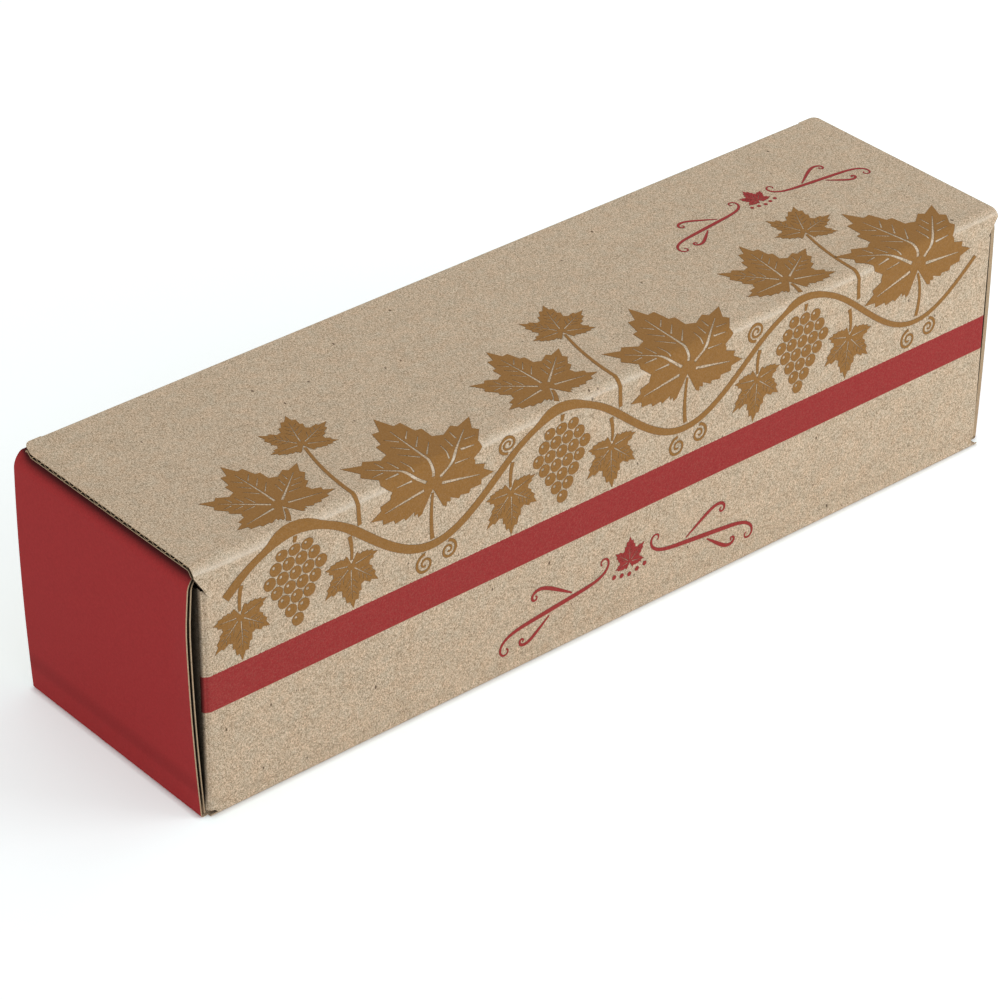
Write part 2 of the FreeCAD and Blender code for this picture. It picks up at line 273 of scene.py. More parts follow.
class PrintSettings(bpy.types.PropertyGroup):
    """Sizes and layout of the printed vine and flourishes, on the sheet as it lies before it is folded.

    Heights are up the sheet from the top of the front wall.
    """

    ink_height: FloatProperty(
        name="Ink height", description="How far the ink lies above the paper",
        default=0.00006, unit="LENGTH", precision=5)
    ink_film: FloatProperty(
        name="Ink film", description="Thickness that the ink is given",
        default=0.00004, unit="LENGTH", precision=5)
    vine_start: FloatProperty(
        name="Vine start", description="Left end of the vine's stem", default=-0.159, unit="LENGTH")
    vine_end: FloatProperty(
        name="Vine end", description="Right end of the vine's stem", default=0.16, unit="LENGTH")
    vine_turns: IntProperty(
        name="Vine turns", description="Waves of the stem along the box", default=3)
    wave: FloatProperty(
        name="Wave", description="Length of one wave of the stem", default=0.106, unit="LENGTH")
    swing: FloatProperty(
        name="Swing", description="How far the stem swings up and down from its middle",
        default=0.0145, unit="LENGTH")
    stem_middle: FloatProperty(
        name="Stem height", description="Height of the stem's middle", default=-0.0125, unit="LENGTH")
    stem_width: FloatProperty(
        name="Stem width", description="Width of the stem at its left end",
        default=0.0034, unit="LENGTH", precision=5)
    high_leaf: FloatProperty(
        name="High leaf", description="Length of the leaves above the stem's crests",
        default=0.0265, unit="LENGTH")
    wide_leaf: FloatProperty(
        name="Wide leaf", description="Length of the leaves above the stem's hollows",
        default=0.0365, unit="LENGTH")
    small_leaf: FloatProperty(
        name="Small leaf", description="Length of the leaves below the stem", default=0.0152, unit="LENGTH")
    shoot_leaf: FloatProperty(
        name="Shoot leaf", description="Length of the leaves at the tips of the tall shoots",
        default=0.0165, unit="LENGTH")
    grape: FloatProperty(
        name="Grape", description="Radius of each grape", default=0.0023, unit="LENGTH", precision=5)
    wall_flourish: FloatVectorProperty(
        name="Wall flourish", description="Middle of the wall's flourish: along the box and up the sheet",
        default=(0.004, -0.0668), unit="LENGTH", size=2)
    wall_flourish_size: FloatProperty(
        name="Wall flourish size", description="Size of the wall's flourish: about the length of its leaf",
        default=0.0098, unit="LENGTH")
    lid_flourish: FloatVectorProperty(
        name="Lid flourish", description="Middle of the lid's flourish: along the box and up the sheet",
        default=(0.112, 0.0605), unit="LENGTH", size=2)
    lid_flourish_size: FloatProperty(
        name="Lid flourish size", description="Size of the lid's flourish: about the length of its leaf",
        default=0.0078, unit="LENGTH")


class StageSettings(bpy.types.PropertyGroup):
    """Studio: floor, light and the photograph's camera."""

    floor: FloatVectorProperty(
        name="Floor", description="Colour of the studio paper",
        default=linear("#F4F4F4"), subtype="COLOR", size=3)
    walls: FloatProperty(
        name="Room walls", description="Strength of the light from the sides of the room", default=1.42)
    ceiling: FloatProperty(
        name="Room ceiling", description="Strength of the light from above", default=0.785)
    key: FloatProperty(
        name="Key light", description="Power of the lamp at the front right", default=5.1)
    key_tint: FloatVectorProperty(
        name="Key tint", description="Colour of the lamp's light, a little cool",
        default=(0.9, 0.96, 1.0), subtype="COLOR", size=3)
    camera_place: FloatVectorProperty(
        name="Camera place", description="Where the camera stands",
        default=(-0.72989, -0.82788, 0.74032), subtype="TRANSLATION", size=3)
    camera_azimuth: FloatProperty(
        name="Camera azimuth", description="Turn of the camera round the box",
        default=math.radians(-40.921), subtype="ANGLE")
    camera_elevation: FloatProperty(
        name="Camera elevation", description="Angle that the camera looks down by",
        default=math.radians(33.038), subtype="ANGLE")
    camera_roll: FloatProperty(
        name="Camera roll", description="Tilt of the camera about its own line of sight",
        default=math.radians(0.6), subtype="ANGLE")
    camera_lens: FloatProperty(
        name="Camera lens", description="Focal length in millimetres on a 36 mm frame", default=142.78)


def near(value, place):
    """Whether a coordinate is at a place."""
    return abs(value - place) < TOUCH


def pick(piece, kind, test):
    """In edit mode, selects only the vertices or edges whose corners all pass the test."""
    bpy.ops.mesh.select_mode(type=kind)
    bpy.ops.mesh.select_all(action="DESELECT")
    shape = bmesh.from_edit_mesh(piece.data)
    for element in shape.verts if kind == "VERT" else shape.edges:
        corners = [element] if kind == "VERT" else element.verts
        if all(test(corner.co) for corner in corners):
            element.select_set(True)
    shape.select_flush_mode()
    bmesh.update_edit_mesh(piece.data)


def start_piece(name, size):
    """Names the shape that was just added, gives it its size, and opens it in edit mode."""
    piece = bpy.context.object
    piece.name = name
    piece.data.name = name
    piece.scale = (*size, 1)
    bpy.ops.object.transform_apply(location=True, rotation=True, scale=True)
    bpy.ops.object.mode_set(mode="EDIT")
    return piece


def add_panel(name, middle, size, turn):
    """Flat panel of board at its size and place, left open in edit mode."""
    bpy.ops.object.select_all(action="DESELECT")
    bpy.ops.mesh.primitive_plane_add(size=1, location=middle, rotation=turn)
    return start_piece(name, size)


def fold_edge(piece, test, centre, axis, degrees, steps):
    """Bends new board round a fold line, starting from the edges that pass the test.

    Degrees follow the right hand; the spin tool turns the other way.
    """
    pick(piece, "EDGE", test)
    bpy.ops.mesh.spin(steps=steps, angle=-math.radians(degrees), center=centre, axis=axis)


def extend_edge(piece, test, step):
    """Carries the board on flat from the edges that pass the test."""
    pick(piece, "EDGE", test)
    bpy.ops.mesh.extrude_region_move(TRANSFORM_OT_translate={"value": step})


def cut_corners(piece, test, size, steps):
    """Cuts or rounds the corners that pass the test."""
    pick(piece, "VERT", test)
    bpy.ops.mesh.bevel(offset=size, segments=steps, affect="VERTICES")


def cut_rows(axis, places):
    """In edit mode, scores the board along lines, so that it can be shaped row by row."""
    for place in places:
        bpy.ops.mesh.select_all(action="SELECT")
        bpy.ops.mesh.bisect(plane_co=axis * place, plane_no=axis)


def face_out(piece, outwards):
    """Merges the doubled corners of an open sheet and turns its faces outwards."""
    bpy.ops.mesh.select_all(action="SELECT")
    bpy.ops.mesh.remove_doubles(threshold=TOUCH)
    bpy.ops.mesh.normals_make_consistent(inside=False)
    shape = bmesh.from_edit_mesh(piece.data)
    largest = max(shape.faces, key=lambda face: face.calc_area() * abs(face.normal.dot(outwards)))
    if largest.normal.dot(outwards) < 0:
        bpy.ops.mesh.flip_normals()


def apply_modifier(piece, kind, **settings):
    """Adds a modifier with these settings and applies it."""
    bpy.context.view_layer.objects.active = piece
    bpy.ops.object.modifier_add(type=kind)
    modifier = piece.modifiers[-1]
    for setting, value in settings.items():
        setattr(modifier, setting, value)
    bpy.ops.object.modifier_apply(modifier=modifier.name)


def smooth(piece):
    """Smooth folds and flat panels, with sharp cut edges."""
    bpy.ops.object.select_all(action="DESELECT")
    piece.select_set(True)
    bpy.context.view_layer.objects.active = piece
    bpy.ops.object.shade_smooth_by_angle(angle=SHARP_TURN)
    apply_modifier(piece, "WEIGHTED_NORMAL", weight=80, keep_sharp=True)


def thicken(piece, finishes, *layers):
    """Leaves edit mode, gives an open sheet its finishes, and thickens it layer by layer."""
    bpy.ops.object.mode_set(mode="OBJECT")
    for material in finishes:
        piece.data.materials.append(material)
    for layer in layers:
        apply_modifier(piece, "SOLIDIFY", **layer)
    smooth(piece)


def whole_board(**settings):
    """Layer as thick as the board, inwards from the outside, with even walls at the folds."""
    return dict(
        thickness=BOARD, offset=-1, use_even_offset=True, use_quality_normals=True, material_offset=1,
        **settings)


def make_liners(piece, outside, liner):
    """Turns an open sheet into two liners a board's thickness apart."""
    paper = dict(thickness=liner, offset=-1, use_rim=True, material_offset=2, material_offset_rim=2)
    thicken(piece, board_finishes(outside), whole_board(use_rim=False), paper)


def make_crushed(piece, outside):
    """Turns an open sheet into crushed board, solid right through."""
    thicken(piece, board_finishes(outside), whole_board(use_rim=True, material_offset_rim=2))


def fold_strip(name, middle, size, turn, shift, centre, axis, degrees):
    """New board bent round a fold line from one straight edge, left in edit mode.

    The edge is the side of a panel that the shift leads away from, moved on by the shift.
    """
    piece = add_panel(name, middle, size, turn)
    pick(piece, "VERT", lambda p: (p - Vector(middle)).dot(shift) > 0)
    bpy.ops.mesh.delete(type="VERT")
    bpy.ops.mesh.select_all(action="SELECT")
    bpy.ops.transform.translate(value=shift)
    fold_edge(piece, lambda p: True, centre, axis, degrees, bpy.context.scene.giftbox_board.fold_steps)
    return piece


def foot_fold(name, middle, length, turn, centre, axis, degrees, reach):
    """Face paper of the fold between a wall and the base: bent round the fold and carried on under the base.

    The fold is crushed so sharply that only its face paper shows. It is left in edit mode.
    """
    radius = bpy.context.scene.giftbox_board.foot_radius
    piece = fold_strip(name, middle, (length, radius), turn, Z_AXIS * radius / 2, centre, axis, degrees)
    extend_edge(piece, lambda p: near(p.z, 0), reach)
    return piece


def finish_foot(piece, outwards, outside):
    """Gives a fold's face paper its thickness and finishes."""
    liner = bpy.context.scene.giftbox_board.liner
    face_out(piece, outwards)
    paper = dict(thickness=liner, offset=-1, use_rim=True, material_offset=1, material_offset_rim=2)
    thicken(piece, board_finishes(outside), paper)


def join_pieces(keeper, *others):
    """Joins finished parts into one piece."""
    bpy.ops.object.select_all(action="DESELECT")
    for part in (keeper, *others):
        part.select_set(True)
    bpy.context.view_layer.objects.active = keeper
    bpy.ops.object.join()
    return keeper


def fluted_medium(name, middle, length, width, turn, rows, board):
    """Waved paper that fills a panel: a flat sheet whose rows are lifted into flutes, left in edit mode.

    The crests are flat where they are glued to the liners.
    The waves run along the sheet's own X, and lift along its own Z.
    """
    steepness = 1.6
    steps = round(width / board.flute_pitch) * board.flute_steps
    bpy.ops.object.select_all(action="DESELECT")
    bpy.ops.mesh.primitive_grid_add(x_subdivisions=rows, y_subdivisions=steps, size=1)
    piece = start_piece(name, (length, width))
    lift = (BOARD - 2 * board.liner - board.medium) / 2
    for phase in range(board.flute_steps):
        pick(piece, "VERT", lambda p: round((p.y / width + 0.5) * steps) % board.flute_steps == phase)
        wave = steepness * math.sin(2 * math.pi * phase / board.flute_steps)
        bpy.ops.transform.translate(value=(0, 0, lift * max(-1, min(1, wave))))
    bpy.ops.object.mode_set(mode="OBJECT")
    piece.rotation_euler = turn
    piece.location = middle
    bpy.ops.object.transform_apply(location=True, rotation=True, scale=True)
    bpy.ops.object.mode_set(mode="EDIT")
    return piece


def finish_medium(piece, board):
    """Gives the waved paper its thickness and finish."""
    thicken(piece, [finish(fluted_medium_paper)], dict(thickness=board.medium, offset=0, use_rim=True))


def add_node(tree, kind, inputs=None, **settings):
    """Adds a node, sets its own settings, and fills or links its inputs.

    A node that is given as an input stands for its first output.
    """
    made = tree.nodes.new(kind)
    for setting, value in settings.items():
        setattr(made, setting, value)
    for socket, value in (inputs or {}).items():
        if isinstance(value, bpy.types.Node):
            value = value.outputs[0]
        if isinstance(value, bpy.types.NodeSocket):
            tree.links.new(value, made.inputs[socket])
        else:
            made.inputs[socket].default_value = value
    return made


def new_material(name):
    """Material with no nodes yet."""
    material = bpy.data.materials.new(name)
    material.use_nodes = True
    material.node_tree.nodes.clear()
    return material


def with_alpha(colour):
    """A colour setting as a shader's four numbers."""
    return (*colour, 1.0)


def flecks(tree, place, spacing, size_share, chance_share):
    """Small flecks, each in a cell of the paper: their share is 1 on a fleck and 0 off it."""
    soft_edge = 0.03
    cells = add_node(tree, "ShaderNodeTexVoronoi", {"Vector": place, "Scale": 1 / spacing, "Randomness": 1.0})
    chance = add_node(tree, "ShaderNodeSeparateColor", {0: cells.outputs["Color"]})
    reach = add_node(
        tree, "ShaderNodeMapRange", {"Value": chance, "From Min": 1 - chance_share, "From Max": 1.0})
    radius = add_node(tree, "ShaderNodeMath", {0: reach, 1: size_share}, operation="MULTIPLY")
    gap = add_node(tree, "ShaderNodeMath", {0: radius, 1: cells.outputs["Distance"]}, operation="SUBTRACT")
    return add_node(tree, "ShaderNodeMapRange", {"Value": gap, "From Min": 0.0, "From Max": soft_edge})


def kraft_pattern(tree, ink):
    """Recycled kraft liner: a fine mix of dark and pale fibres, with a few bleached and bark flecks.

    Returns the colour and the height of the fibres. Sizes are in millimetres.
    """
    place = add_node(tree, "ShaderNodeTexCoord").outputs["Object"]
    in_mm = add_node(tree, "ShaderNodeVectorMath", {0: place, 1: (1000, 1000, 1000)}, operation="MULTIPLY")
    aside = add_node(tree, "ShaderNodeVectorMath", {0: in_mm, 1: (31, 17, 53)}, operation="ADD")
    # Fibres lie mostly across the flutes: 0.4 mm wide and 0.9 mm long
    fibres_per_mm = (1 / 0.4, 1 / 0.9, 1 / 0.9)
    fibre_weight = 0.75
    along_fibres = add_node(tree, "ShaderNodeVectorMath", {0: in_mm, 1: fibres_per_mm}, operation="MULTIPLY")
    fibres = add_node(tree, "ShaderNodeTexNoise", {"Vector": along_fibres, "Scale": 1.0, "Detail": 1.0})
    # Grain of the sheet, about 0.36 mm, and its cloudy formation, about 8 mm
    grain_size = 0.36
    grain_weight = 1.8
    cloud_size = 8
    cloud_weight = 0.12
    grain = add_node(
        tree, "ShaderNodeTexNoise",
        {"Vector": aside, "Scale": 1 / grain_size, "Detail": 1.0, "Roughness": 0.7})
    clouds = add_node(tree, "ShaderNodeTexNoise", {"Vector": in_mm, "Scale": 1 / cloud_size, "Detail": 2.0})
    # Each pattern swings about a half, so half of each weight is taken off again
    low = -(fibre_weight + grain_weight) / 2
    fibre_part = add_node(
        tree, "ShaderNodeMath", {0: fibres, 1: fibre_weight, 2: low}, operation="MULTIPLY_ADD")
    fine = add_node(
        tree, "ShaderNodeMath", {0: grain, 1: grain_weight, 2: fibre_part}, operation="MULTIPLY_ADD")
    tone = add_node(tree, "ShaderNodeMath", {0: clouds, 1: cloud_weight, 2: fine}, operation="MULTIPLY_ADD")
    pale_share = add_node(
        tree, "ShaderNodeMath", {0: tone, 1: 0.5 - cloud_weight / 2}, operation="ADD", use_clamp=True)
    height = add_node(tree, "ShaderNodeMath", {0: fine, 1: 0.5}, operation="ADD")
    paper = add_node(
        tree, "ShaderNodeMix", {0: pale_share, 6: with_alpha(ink.kraft_dark), 7: with_alpha(ink.kraft_pale)},
        data_type="RGBA").outputs[2]
    # Hue drifts between grey and rusty fibres, in patches from 5 mm down to single fibres
    patch_size = 5
    grey_tint = (0.95, 1.0, 1.03, 1.0)
    rusty_tint = (1.05, 0.99, 0.95, 1.0)
    hue = add_node(
        tree, "ShaderNodeTexNoise",
        {"Vector": aside, "Scale": 1 / patch_size, "Detail": 5.0, "Roughness": 0.75})
    rusty_share = add_node(tree, "ShaderNodeMapRange", {"Value": hue, "From Min": 0.3, "From Max": 0.7})
    tint = add_node(
        tree, "ShaderNodeMix", {0: rusty_share, 6: grey_tint, 7: rusty_tint}, data_type="RGBA").outputs[2]
    tinted = add_node(tree, "ShaderNodeVectorMath", {0: paper, 1: tint}, operation="MULTIPLY")
    # Bleached flecks under half a millimetre
    bleached = flecks(tree, in_mm, 3.0, 0.1, 0.3)
    bleached_share = add_node(tree, "ShaderNodeMath", {0: bleached, 1: 0.55}, operation="MULTIPLY")
    pale = add_node(
        tree, "ShaderNodeMix", {0: bleached_share, 6: tinted, 7: with_alpha(ink.kraft_light)},
        data_type="RGBA").outputs[2]
    # Bark flecks, drawn out along the fibres
    drawn_out = add_node(tree, "ShaderNodeVectorMath", {0: aside, 1: (1.0, 0.6, 0.6)}, operation="MULTIPLY")
    bark = flecks(tree, drawn_out, 3.4, 0.14, 0.3)
    bark_share = add_node(tree, "ShaderNodeMath", {0: bark, 1: 0.85}, operation="MULTIPLY")
    colour = add_node(
        tree, "ShaderNodeMix", {0: bark_share, 6: pale, 7: with_alpha(ink.speck)},
        data_type="RGBA").outputs[2]
    return colour, height


def paper_surface(tree, colour, height, roughness, specular, crevice_shade, reach=0.006, least_share=0.0):
    """Matt paper: rough, with a fibre relief a few hundredths of a millimetre deep.

    Painted shade: an occlusion test darkens the colour itself in gaps up to the reach across, the more so
    with a larger crevice_shade value, down to the least share, but not at the floor.
    """
    relief_depth = 0.00005
    place = add_node(tree, "ShaderNodeTexCoord").outputs["Object"]
    up = add_node(tree, "ShaderNodeSeparateXYZ", {0: place}).outputs[2]
    off_floor_share = add_node(
        tree, "ShaderNodeMapRange", {"Value": up, "From Min": reach / 2, "From Max": reach * 1.5})
    # Painted shade: the colour is scaled down where nearby board closes the surface in
    open_share = add_node(tree, "ShaderNodeAmbientOcclusion", {"Distance": reach}, samples=12).outputs["AO"]
    depth = add_node(tree, "ShaderNodeMath", {0: off_floor_share, 1: crevice_shade}, operation="MULTIPLY")
    deep_share = add_node(tree, "ShaderNodeMath", {0: open_share, 1: depth}, operation="POWER")
    light_share = add_node(tree, "ShaderNodeMapRange", {"Value": deep_share, "To Min": least_share})
    painted_shade_colour = add_node(tree, "ShaderNodeVectorMath", {0: colour, "Scale": light_share}, operation="SCALE")
    rough = add_node(
        tree, "ShaderNodeMapRange", {"Value": height, "To Min": roughness[0], "To Max": roughness[1]})
    relief = add_node(tree, "ShaderNodeBump", {"Height": height, "Strength": 0.35, "Distance": relief_depth})
    surface = add_node(
        tree, "ShaderNodeBsdfPrincipled",
        {"Base Color": painted_shade_colour, "Roughness": rough, "Normal": relief, "IOR": 1.47,
         "Specular IOR Level": specular})
    add_node(tree, "ShaderNodeOutputMaterial", {"Surface": surface})


def ink_on(tree, kraft, height, ink_colour, least_cover_share):
    """Thin water-based ink, mottled by about a millimetre and soaked into the kraft.

    It covers the kraft fully where the fibres lie low, and by the least share on the highest ones.
    """
    mottle_size = 0.0008
    mottle_weight = 0.5
    place = add_node(tree, "ShaderNodeTexCoord").outputs["Object"]
    mottle = add_node(
        tree, "ShaderNodeTexNoise",
        {"Vector": place, "Scale": 1 / mottle_size, "Detail": 3.0, "Roughness": 0.7})
    ink_share = add_node(
        tree, "ShaderNodeMath", {0: mottle, 1: mottle_weight, 2: 1 - mottle_weight / 2},
        operation="MULTIPLY_ADD")
    laid = add_node(
        tree, "ShaderNodeVectorMath", {0: tuple(ink_colour), "Scale": ink_share}, operation="SCALE")
    cover_share = add_node(
        tree, "ShaderNodeMapRange", {"Value": height, "To Min": 1.0, "To Max": least_cover_share})
    return add_node(tree, "ShaderNodeMix", {0: cover_share, 6: kraft, 7: laid}, data_type="RGBA").outputs[2]


def recycled_kraft_liner(tree, ink):
    """Unprinted recycled kraft liner: matt, fibrous, blotchy brown."""
    kraft, height = kraft_pattern(tree, ink)
    paper_surface(tree, kraft, height, (0.78, 0.95), 0.12, 1.5)


def banded_kraft_liner(tree, ink):
    """Kraft liner with a printed red band along the wall and a pale, rubbed line on the lid's fold."""
    kraft, height = kraft_pattern(tree, ink)
    rubbed_share = add_node(tree, "ShaderNodeAttribute", attribute_name="rubbed").outputs["Fac"]
    rubbed = add_node(
        tree, "ShaderNodeMix", {0: rubbed_share, 6: kraft, 7: with_alpha(ink.kraft_light)},
        data_type="RGBA").outputs[2]
    # The ink's edges wander by a tenth of a millimetre with the fibres
    wander_reach = 0.0001
    soft_edge = 0.00005
    wander = add_node(
        tree, "ShaderNodeMath", {0: height, 1: 2 * wander_reach, 2: -wander_reach}, operation="MULTIPLY_ADD")
    place = add_node(tree, "ShaderNodeTexCoord").outputs["Object"]
    up = add_node(tree, "ShaderNodeSeparateXYZ", {0: place}).outputs[2]
    at_height = add_node(tree, "ShaderNodeMath", {0: up, 1: wander}, operation="ADD")
    half = ink.band_width / 2
    middle = ink.band_foot + half
    off_middle = add_node(tree, "ShaderNodeMath", {0: at_height, 1: middle}, operation="SUBTRACT")
    away = add_node(tree, "ShaderNodeMath", {0: off_middle}, operation="ABSOLUTE")
    band_share = add_node(
        tree, "ShaderNodeMapRange",
        {"Value": away, "From Min": half + soft_edge, "From Max": half - soft_edge})
    inked = ink_on(tree, rubbed, height, ink.band, 0.93)
    printed = add_node(
        tree, "ShaderNodeMix", {0: band_share, 6: rubbed, 7: inked}, data_type="RGBA").outputs[2]
    # Painted shade, stronger than on plain kraft: darkens the gaps beside the wall's folded ends
    paper_surface(tree, printed, height, (0.78, 0.95), 0.12, 3.0)


def red_ink_on_kraft(tree, ink):
    """Kraft liner flooded with red ink: even, deep red with a faint grain."""
    kraft, height = kraft_pattern(tree, ink)
    inked = ink_on(tree, kraft, height, ink.red, 0.98)
    # Strong painted shade: the red is darkened to as little as a fifth, in gaps and in a wide band under the
    # lid's edge
    paper_surface(tree, inked, height, (0.6, 0.75), 0.12, 10.0, 0.016, 0.2)


def ochre_ink_on_kraft(tree, ink):
    """Ochre ink on the kraft liner: matt golden brown, with the paper's fibres showing faintly through."""
    kraft, height = kraft_pattern(tree, ink)
    inked = ink_on(tree, kraft, height, ink.ochre, 0.9)
    paper_surface(tree, inked, height, (0.7, 0.88), 0.12, 1.5)


def thin_red_ink_on_kraft(tree, ink):
    """Thin red ink on the kraft liner, as on the band."""
    kraft, height = kraft_pattern(tree, ink)
    inked = ink_on(tree, kraft, height, ink.band, 0.93)
    paper_surface(tree, inked, height, (0.7, 0.88), 0.12, 1.5)


def cut_board_edge(tree, ink):
    """Die-cut edge of the liners: the same paper, unbleached and a little darker."""
    kraft, height = kraft_pattern(tree, ink)
    darker = add_node(
        tree, "ShaderNodeMix", {0: 0.65, 6: kraft, 7: with_alpha(ink.cut_edge)}, data_type="RGBA").outputs[2]
    # Painted shade darkens the cut edges where they lie in gaps
    paper_surface(tree, darker, height, (0.85, 1.0), 0.2, 1.6)


def fluted_medium_paper(tree, ink):
    """Fluted paper inside the board: plain kraft, darkened by painted shade deep in the raw edges."""
    kraft, height = kraft_pattern(tree, ink)
    darker = add_node(
        tree, "ShaderNodeMix", {0: 0.8, 6: kraft, 7: with_alpha(ink.medium)}, data_type="RGBA").outputs[2]
    paper_surface(tree, darker, height, (0.85, 1.0), 0.1, 2.5)


def finish(maker):
    """The material that a function makes, named after the function and made once."""
    material = bpy.data.materials.get(maker.__name__)
    if material is None:
        material = new_material(maker.__name__)
        maker(material.node_tree, bpy.context.scene.giftbox_ink)
    return material


def board_finishes(outside):
    """Finishes of a board, in slot order: outside, inside, cut edges."""
    return [finish(outside), finish(recycled_kraft_liner), finish(cut_board_edge)]


def wall_panel(name, side, low_x, high_x, top, board):
    """Long wall with its cut lower corners: side is -1 for the hinge wall and 1 for the tuck wall."""
    foot = board.foot_radius
    piece = add_panel(
        name, ((low_x + high_x) / 2, side * HALF_DEPTH, (foot + top) / 2), (high_x - low_x, top - foot),
        (-side * QUARTER, 0, 0))
    cut_corners(piece, lambda p: near(p.z, foot), board.foot_cut, 1)
    return piece


def fold_wall_ends(piece, side, low_x, high_x, flap_top, board):
    """Folds a long wall's two ends in to the dust flaps."""
    fold_y = side * (HALF_DEPTH - FOLD_RADIUS)
    flap_foot = board.foot_radius + board.foot_cut
    for end, end_x in ((-1, low_x), (1, high_x)):
        fold_edge(
            piece, lambda p: near(p.x, end_x) and flap_foot - TOUCH < p.z < flap_top + TOUCH,
            (end_x, fold_y, 0), Z_AXIS, -side * end * 90, board.fold_steps)


def wall_foot(name, side, low_x, high_x, board):
    """Fold between a long wall and the base, left in edit mode."""
    foot = board.foot_radius
    return foot_fold(
        name, ((low_x + high_x) / 2, side * HALF_DEPTH, foot), high_x - low_x + 2 * board.foot_cut,
        (-side * QUARTER, 0, 0), (0, side * (HALF_DEPTH - foot), foot), X_AXIS, -side * 90,
        (0, side * (foot - FOLD_RADIUS), 0))


def lid_crease(board):
    """Section of the lid's crease, from the wall up to the lid: (y, z) of its turning points.

    Returns the top of the flat wall, the middle of the tight bend, its end, the middle of the soft slope, and
    the start of the flat lid.
    """
    turn, tight, soft = board.bend_turn, board.bend_radius, board.slope_radius
    rise = tight * math.sin(turn) + soft * (1 - math.sin(turn))
    wall = Vector((-HALF_DEPTH, TOP - rise))
    tight_middle = wall + Vector((tight, 0))
    bend_end = tight_middle + tight * Vector((-math.cos(turn), math.sin(turn)))
    soft_middle = bend_end + soft * Vector((math.cos(turn), -math.sin(turn)))
    lid = soft_middle + Vector((0, soft))
    return wall, tight_middle, bend_end, soft_middle, lid


def crease_sag(x, board):
    """How far the lid's crease lies above its usual height at a place along the box."""
    rise_reach = 0.007
    rise_share = math.exp(-((x + HALF_LID) / rise_reach) ** 2)
    return board.sag_tilt * (x - HALF_LID) + board.sag_rise * rise_share


def sag_crease(piece, board):
    """Lets the crease wander along the box, as a hand-folded one does, and marks where it is rubbed."""
    wall, _, bend_end, _, lid = lid_crease(board)
    right_rub_share = 0.4
    left_extra_share = 0.15
    cut_rows(X_AXIS, CREASE_COLUMNS)
    shape = bmesh.from_edit_mesh(piece.data)
    rubbed = shape.verts.layers.float.new("rubbed")
    for corner in shape.verts:
        if corner.co.z < wall.y - TOUCH or corner.co.y > lid.x - TOUCH:
            continue
        up_share = max(0.0, (corner.co.y - bend_end.x) / (lid.x - bend_end.x))
        bend_share = min(1.0, max(0.0, (corner.co.z - wall.y) / (bend_end.y - wall.y)))
        left_share = (HALF_LID - corner.co.x) / (2 * HALF_LID)
        rub_share = right_rub_share + left_extra_share * left_share
        corner[rubbed] = bend_share ** 2 * (1 - up_share) ** 4 * rub_share
        corner.co.z += crease_sag(corner.co.x, board) * (1 - up_share) ** 2
    bmesh.update_edit_mesh(piece.data)


